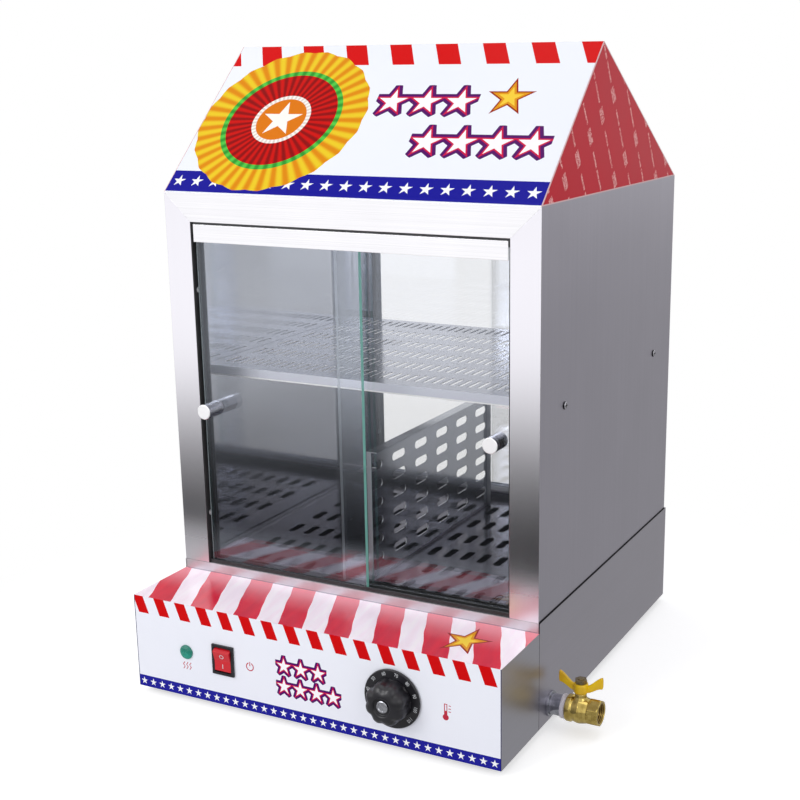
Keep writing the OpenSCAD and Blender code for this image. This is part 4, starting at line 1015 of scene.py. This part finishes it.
def on_rocker(points, half):
    """Lays flat points (right, up, out) on the rocker's upper or lower slope at rest. The slope is a
    straight line between two points of the rocker's outline, tipped by half its swing."""
    tip = np.radians(SWING_HALF)
    a, b = np.array([-5.9, 0.0]), np.array([-7.5, half * 10.9])
    c, s = np.cos(tip), np.sin(tip)
    turn = np.array([[c, -s], [s, c]])
    a, b = turn @ a, turn @ b
    along = (b - a) / np.linalg.norm(b - a) * half
    out = np.array([-along[1], along[0]])
    out = out if out[0] < 0 else -out
    centre = (a + b) / 2
    yz = centre + points[..., 1:2] * along + points[..., 2:3] * out
    return np.concatenate([points[..., :1], yz], -1) + SWITCH


turn = np.linspace(0, 2 * np.pi, 48, endpoint=False)
ring = np.array([(2.5, SUNK), (2.5, PROUD), (1.75, PROUD), (1.75, SUNK), (2.5, SUNK)])
ring_grid = np.stack([ring[:, :1] * np.cos(turn), ring[:, :1] * np.sin(turn), ring[:, 1:] + 0 * turn], -1)
bar = np.array([(-0.4, -2.4), (0.4, -2.4), (0.4, 2.4), (-0.4, 2.4)])
levels = ((0, SUNK), (1, SUNK), (1, PROUD), (0, PROUD))
bar_grid = np.array([[(x * k, y * k, h) for x, y in bar] for k, h in levels])
piece("rocker_marks", [on_rocker(ring_grid, 1), on_rocker(bar_grid, -1)], figures_white,
      "power_rocker")

# %% [markdown]
# ### The drain valve
#
# The body is turned brass, the end piece is bar with six flats and a threaded mouth, and the handle
# is stamped and painted plate. Flats cut from a round bar leave curved edges where the end is
# chamfered, so the radius at each angle is the lesser of the hexagon's and the chamfer's.

# %% Valve barrel and its neck
VALVE_X, STEM_X, VALVE_LENGTH, HEX_LENGTH = 225.0, 238.0, 23.0, 11.0
NIPPLE_RADIUS = 10.47
AXIS = np.array([VALVE_X, DRAIN_Y, DRAIN_Z])
STEM = np.array([STEM_X, DRAIN_Y, DRAIN_Z])

barrel = softened([
    (0, NIPPLE_RADIUS), (0, 12.4), (0.9, 13.5), (5.4, 13.5), (6.2, 12.7), (6.9, 12.3), (8.6, 12.6),
    (11.6, 13.4), (13.6, 13.5), (17, 13.0), (21, 12.1), (VALVE_LENGTH, 11.4), (VALVE_LENGTH, 8.0),
    (4.5, 8.0), (4.5, NIPPLE_RADIUS), (0, NIPPLE_RADIUS),
], 0.8, 4)
neck = softened([
    (8.5, 3.3), (8.5, 8.4), (12.6, 6.6), (14.2, 5.7), (17.0, 5.65), (17.7, 5.1), (17.7, 3.3), (8.5, 3.3),
], 0.6, 4)
piece("valve_barrel", [round_about(barrel, AXIS, "x", 128), round_about(neck, STEM, "z", 64)],
      valve_brass, "cabinet", ["valve_body"])

# %% [markdown]
# The mouth's surface runs out along the bar, over its edge and back down the bore to the seat. The
# thread is a saw of the depth and the angle together, so that it climbs as it goes round.


# %% Six-sided end with a thread inside
def hexagon_end(count=240):
    """Radius = the lesser of the hexagon, half the flats / cos(angle to the nearest flat), and the
    turned chamfer. Inside, the bore's radius rises and falls along a helix for the thread."""
    turn = np.linspace(0, 2 * np.pi, count, endpoint=False)[None, :]
    to_flat = np.abs((turn + np.pi / 6) % (np.pi / 3) - np.pi / 6)
    half_flats, pitch, countersink = 12.0, 1.8, 1.2
    hexagon = half_flats / np.cos(to_flat)
    outside = softened([
        (0, 8), (0, 12.9), (1.2, 14.3), (9.4, 14.3), (10.6, 12.7), (HEX_LENGTH, 11.9),
    ], 0.3, 4)
    along, chamfer = outside[:, :1], outside[:, 1:]
    outer = np.minimum(hexagon, chamfer)
    depth = np.linspace(HEX_LENGTH, 1.0, 90)[:, None]
    wave = np.abs(((depth / pitch + turn / (2 * np.pi)) % 1) - 0.5) * 2
    mouth = np.clip((depth - HEX_LENGTH + countersink) / countersink, 0, 1)
    bore = 9.3 + 0.75 * wave * (1 - mouth) + 1.2 * mouth
    floor = np.array([(1.0, 5.0), (0.0, 5.0), (0.0, 8.0)])
    rows = [np.broadcast_to(along, outer.shape), np.broadcast_to(depth, bore.shape),
            np.broadcast_to(floor[:, :1], (3, count))]
    radii = [outer, bore, np.broadcast_to(floor[:, 1:], (3, count))]
    x, r = np.concatenate(rows), np.concatenate(radii)
    grid = np.stack([x, r * np.cos(turn), r * np.sin(turn)], -1)
    return grid + AXIS + [VALVE_LENGTH + 0.02, 0, 0]


piece("valve_mouth", [hexagon_end()], valve_brass, "cabinet", ["valve_end"])

# %% [markdown]
# The handle is pressed from plate: a round hub with a lip, and two wings that lift and broaden to
# square tips. Each wing is a plate carried along a rising curve, its height growing on the way.


# %% Butterfly handle
def wing(side, steps=28, round_steps=20):
    """A plate carried outwards: at distance s, from 0 to 1, its middle rises by a smooth step and its
    height grows from 7 to 12 mm, with edges rounded as a thin oval."""
    s = np.linspace(0, 1, steps)[:, None]
    t = np.linspace(0, 2 * np.pi, round_steps, endpoint=False)[None, :]
    rise = s * s * (3 - 2 * s)
    middle = 22.3 + 9.2 * rise
    half = 3.4 + 2.7 * s
    squared = np.sign(np.sin(t)) * np.abs(np.sin(t)) ** 0.35
    thick = 1.5 * np.sign(np.cos(t)) * np.abs(np.cos(t)) ** 0.6
    end = np.clip(1.0 - np.clip((s - 0.96) / 0.04, 0, 1) ** 2 * 0.35, 0, 1)
    x = side * (5.0 + 17.5 * s) + 0 * t
    y = thick * end + 0 * s
    z = middle + half * squared * end
    body = np.stack([x, y, z], -1)
    first = np.repeat(body[:1].mean(1, keepdims=True), round_steps, 1)
    last = np.repeat(body[-1:].mean(1, keepdims=True), round_steps, 1)
    return np.concatenate([first, body, last]) + STEM


hub = softened([(18.3, 3.27), (18.3, 6.6), (19.2, 7.25), (26.5, 7.25), (27.8, 6.6), (28.0, 5.6),
                (27.5, 4.9), (27.5, 3.27), (18.3, 3.27)], 0.6, 4)
piece("valve_wings", [wing(1), wing(-1), round_about(hub, STEM, "z", 64)],
      yellow_paint, "drain_handle", ["valve_handle"], 50)

# %% [markdown]
# White tape is wound on the nipple's thread before the valve is screwed on, and its edge shows as
# a few uneven turns. The radius wanders with the angle and steps a little at each turn.


# %% Thread tape
def tape_surface(count=160):
    """Radius = nipple + a thin layer + uneven waves of the angle, tapering at both edges."""
    turn = np.linspace(0, 2 * np.pi, count, endpoint=False)[None, :]
    t = np.linspace(0, 1, 13)[:, None]
    x = -5.5 + 5.4 * t + 0.35 * np.sin(3 * turn + 5 * t) * (1 - t)
    layer = 1.4 * np.sqrt(np.clip(1 - (2 * t - 1) ** 6, 0, 1))
    uneven = 1 + 0.12 * np.sin(5 * turn + 9 * t) + 0.1 * np.sin(14 * t * np.pi)
    r = NIPPLE_RADIUS + layer * uneven
    outer = np.stack([x, r * np.cos(turn), r * np.sin(turn)], -1)
    bare = NIPPLE_RADIUS + 0 * x
    inner = np.stack([x[::-1], bare * np.cos(turn), bare * np.sin(turn)], -1)
    return np.concatenate([outer, inner, outer[:1]]) + AXIS


piece("tape_turns", [tape_surface()], tape_wrap, "cabinet", ["thread_tape"], 60)

# %% [markdown]
# ## The room
#
# The picture stands on white with a faint shadow. The floor is pale and takes the shadow, and the
# camera sees a little of its own light there, so that it reads as paper white. What metal mirrors is
# the studio: the pale table, a dark strip beyond its edge where no lamp reaches, and bright far away.


# %% Floor
def studio_floor(half=6.0, below=-0.0002):
    """A square sheet in metres. Its shader asks each ray what it is: a mirror's ray gets the studio's
    grey, which is level, dark past the table's edge and bright far out in front; the camera's ray
    gets paper that fades to plain white; and any other gets the pale sheet itself."""
    mesh = bpy.data.meshes.new("floor")
    corners = [(-half, -half, below), (half, -half, below), (half, half, below), (-half, half, below)]
    mesh.from_pydata(corners, [], [(0, 1, 2, 3)])
    made = bpy.data.objects.new("floor", mesh)
    bpy.context.collection.objects.link(made)
    g = Graph("floor_paper")
    coords = g.node("ShaderNodeTexCoord").outputs["Object"]
    split = g.node("ShaderNodeSeparateXYZ", None, [coords])
    x, y = Value(g, split.outputs[0]), Value(g, split.outputs[1])
    path = g.node("ShaderNodeLightPath")
    seen = Value(g, path.outputs["Is Camera Ray"]) | Value(g, path.outputs["Is Transmission Ray"])
    mirrored = Value(g, path.outputs["Is Glossy Ray"])
    reach = (x * x + y * y) ** 0.5
    table = 0.53
    beyond = 0.04 + (-y - x * 0.35).smooth(0.62, 1.98) * 1.08
    level = table + (-y).smooth(0.44, 0.54) * (beyond - table)
    grey = g.vector(level, level, level)
    diffuse = g.node("ShaderNodeBsdfDiffuse", None, {"Color": (0.9, 0.9, 0.9, 1)}).outputs[0]
    lift = g.node("ShaderNodeEmission", None, {"Color": (1, 1, 1, 1), "Strength": 0.5}).outputs[0]
    added = g.node("ShaderNodeAddShader", None, [diffuse, lift]).outputs[0]
    white = g.node("ShaderNodeEmission", None, {"Color": (1, 1, 1, 1), "Strength": 1.0}).outputs[0]
    paper = g.node("ShaderNodeMixShader", None, [reach.smooth(0.30, 0.60), added, white]).outputs[0]
    shown = g.node("ShaderNodeMixShader", None, [seen, diffuse, paper]).outputs[0]
    image = g.node("ShaderNodeEmission", None, {"Color": grey, "Strength": 1.0}).outputs[0]
    final = g.node("ShaderNodeMixShader", None, [mirrored, shown, image]).outputs[0]
    g.node("ShaderNodeOutputMaterial", None, [final])
    mesh.materials.append(g.material)
    return made


floor = studio_floor()
print("floor", [round(v, 1) for v in floor.dimensions])

# %% [markdown]
# The world is white for what the camera and mirrors see of it, and dimmer for the light it sheds.
# Three soft square lamps do the rest, all aimed at the cabinet's middle.

# %% World and lamps
world = bpy.data.worlds.new("studio")
bpy.context.scene.world = world
sky = Graph("studio", world)
path = sky.node("ShaderNodeLightPath")
camera_ray, glossy_ray, clear_ray = (
    Value(sky, path.outputs[f"Is {kind} Ray"]) for kind in ("Camera", "Glossy", "Transmission"))
dim = sky.node("ShaderNodeBackground", None, {"Color": (0.97, 0.98, 1.0, 1), "Strength": 0.50}).outputs[0]
bright = sky.node("ShaderNodeBackground", None, {"Color": (1, 1, 1, 1), "Strength": 1.0}).outputs[0]
mixed = sky.node("ShaderNodeMixShader", None, [camera_ray | glossy_ray | clear_ray, dim, bright])
sky.node("ShaderNodeOutputWorld", None, [mixed.outputs[0]])


def soft_lamp(name, place, aim, size, power):
    """A square lamp of a size in metres and a power in watts, turned to face the aim."""
    lamp = bpy.data.lights.new(name, "AREA")
    lamp.shape, lamp.size, lamp.energy = "SQUARE", size, power
    made = bpy.data.objects.new(name, lamp)
    made.location = place
    made.rotation_euler = (Vector(aim) - Vector(place)).to_track_quat("-Z", "Y").to_euler()
    bpy.context.collection.objects.link(made)


MIDDLE = (0, 0, 0.3)
soft_lamp("key", (-1.3, -2.3, 1.6), MIDDLE, 1.6, 36)
soft_lamp("fill", (2.2, -1.4, 1.6), MIDDLE, 1.4, 9)
soft_lamp("top", (0, 0.2, 2.6), MIDDLE, 1.8, 10)
bpy.context.scene.view_settings.view_transform = "Standard"
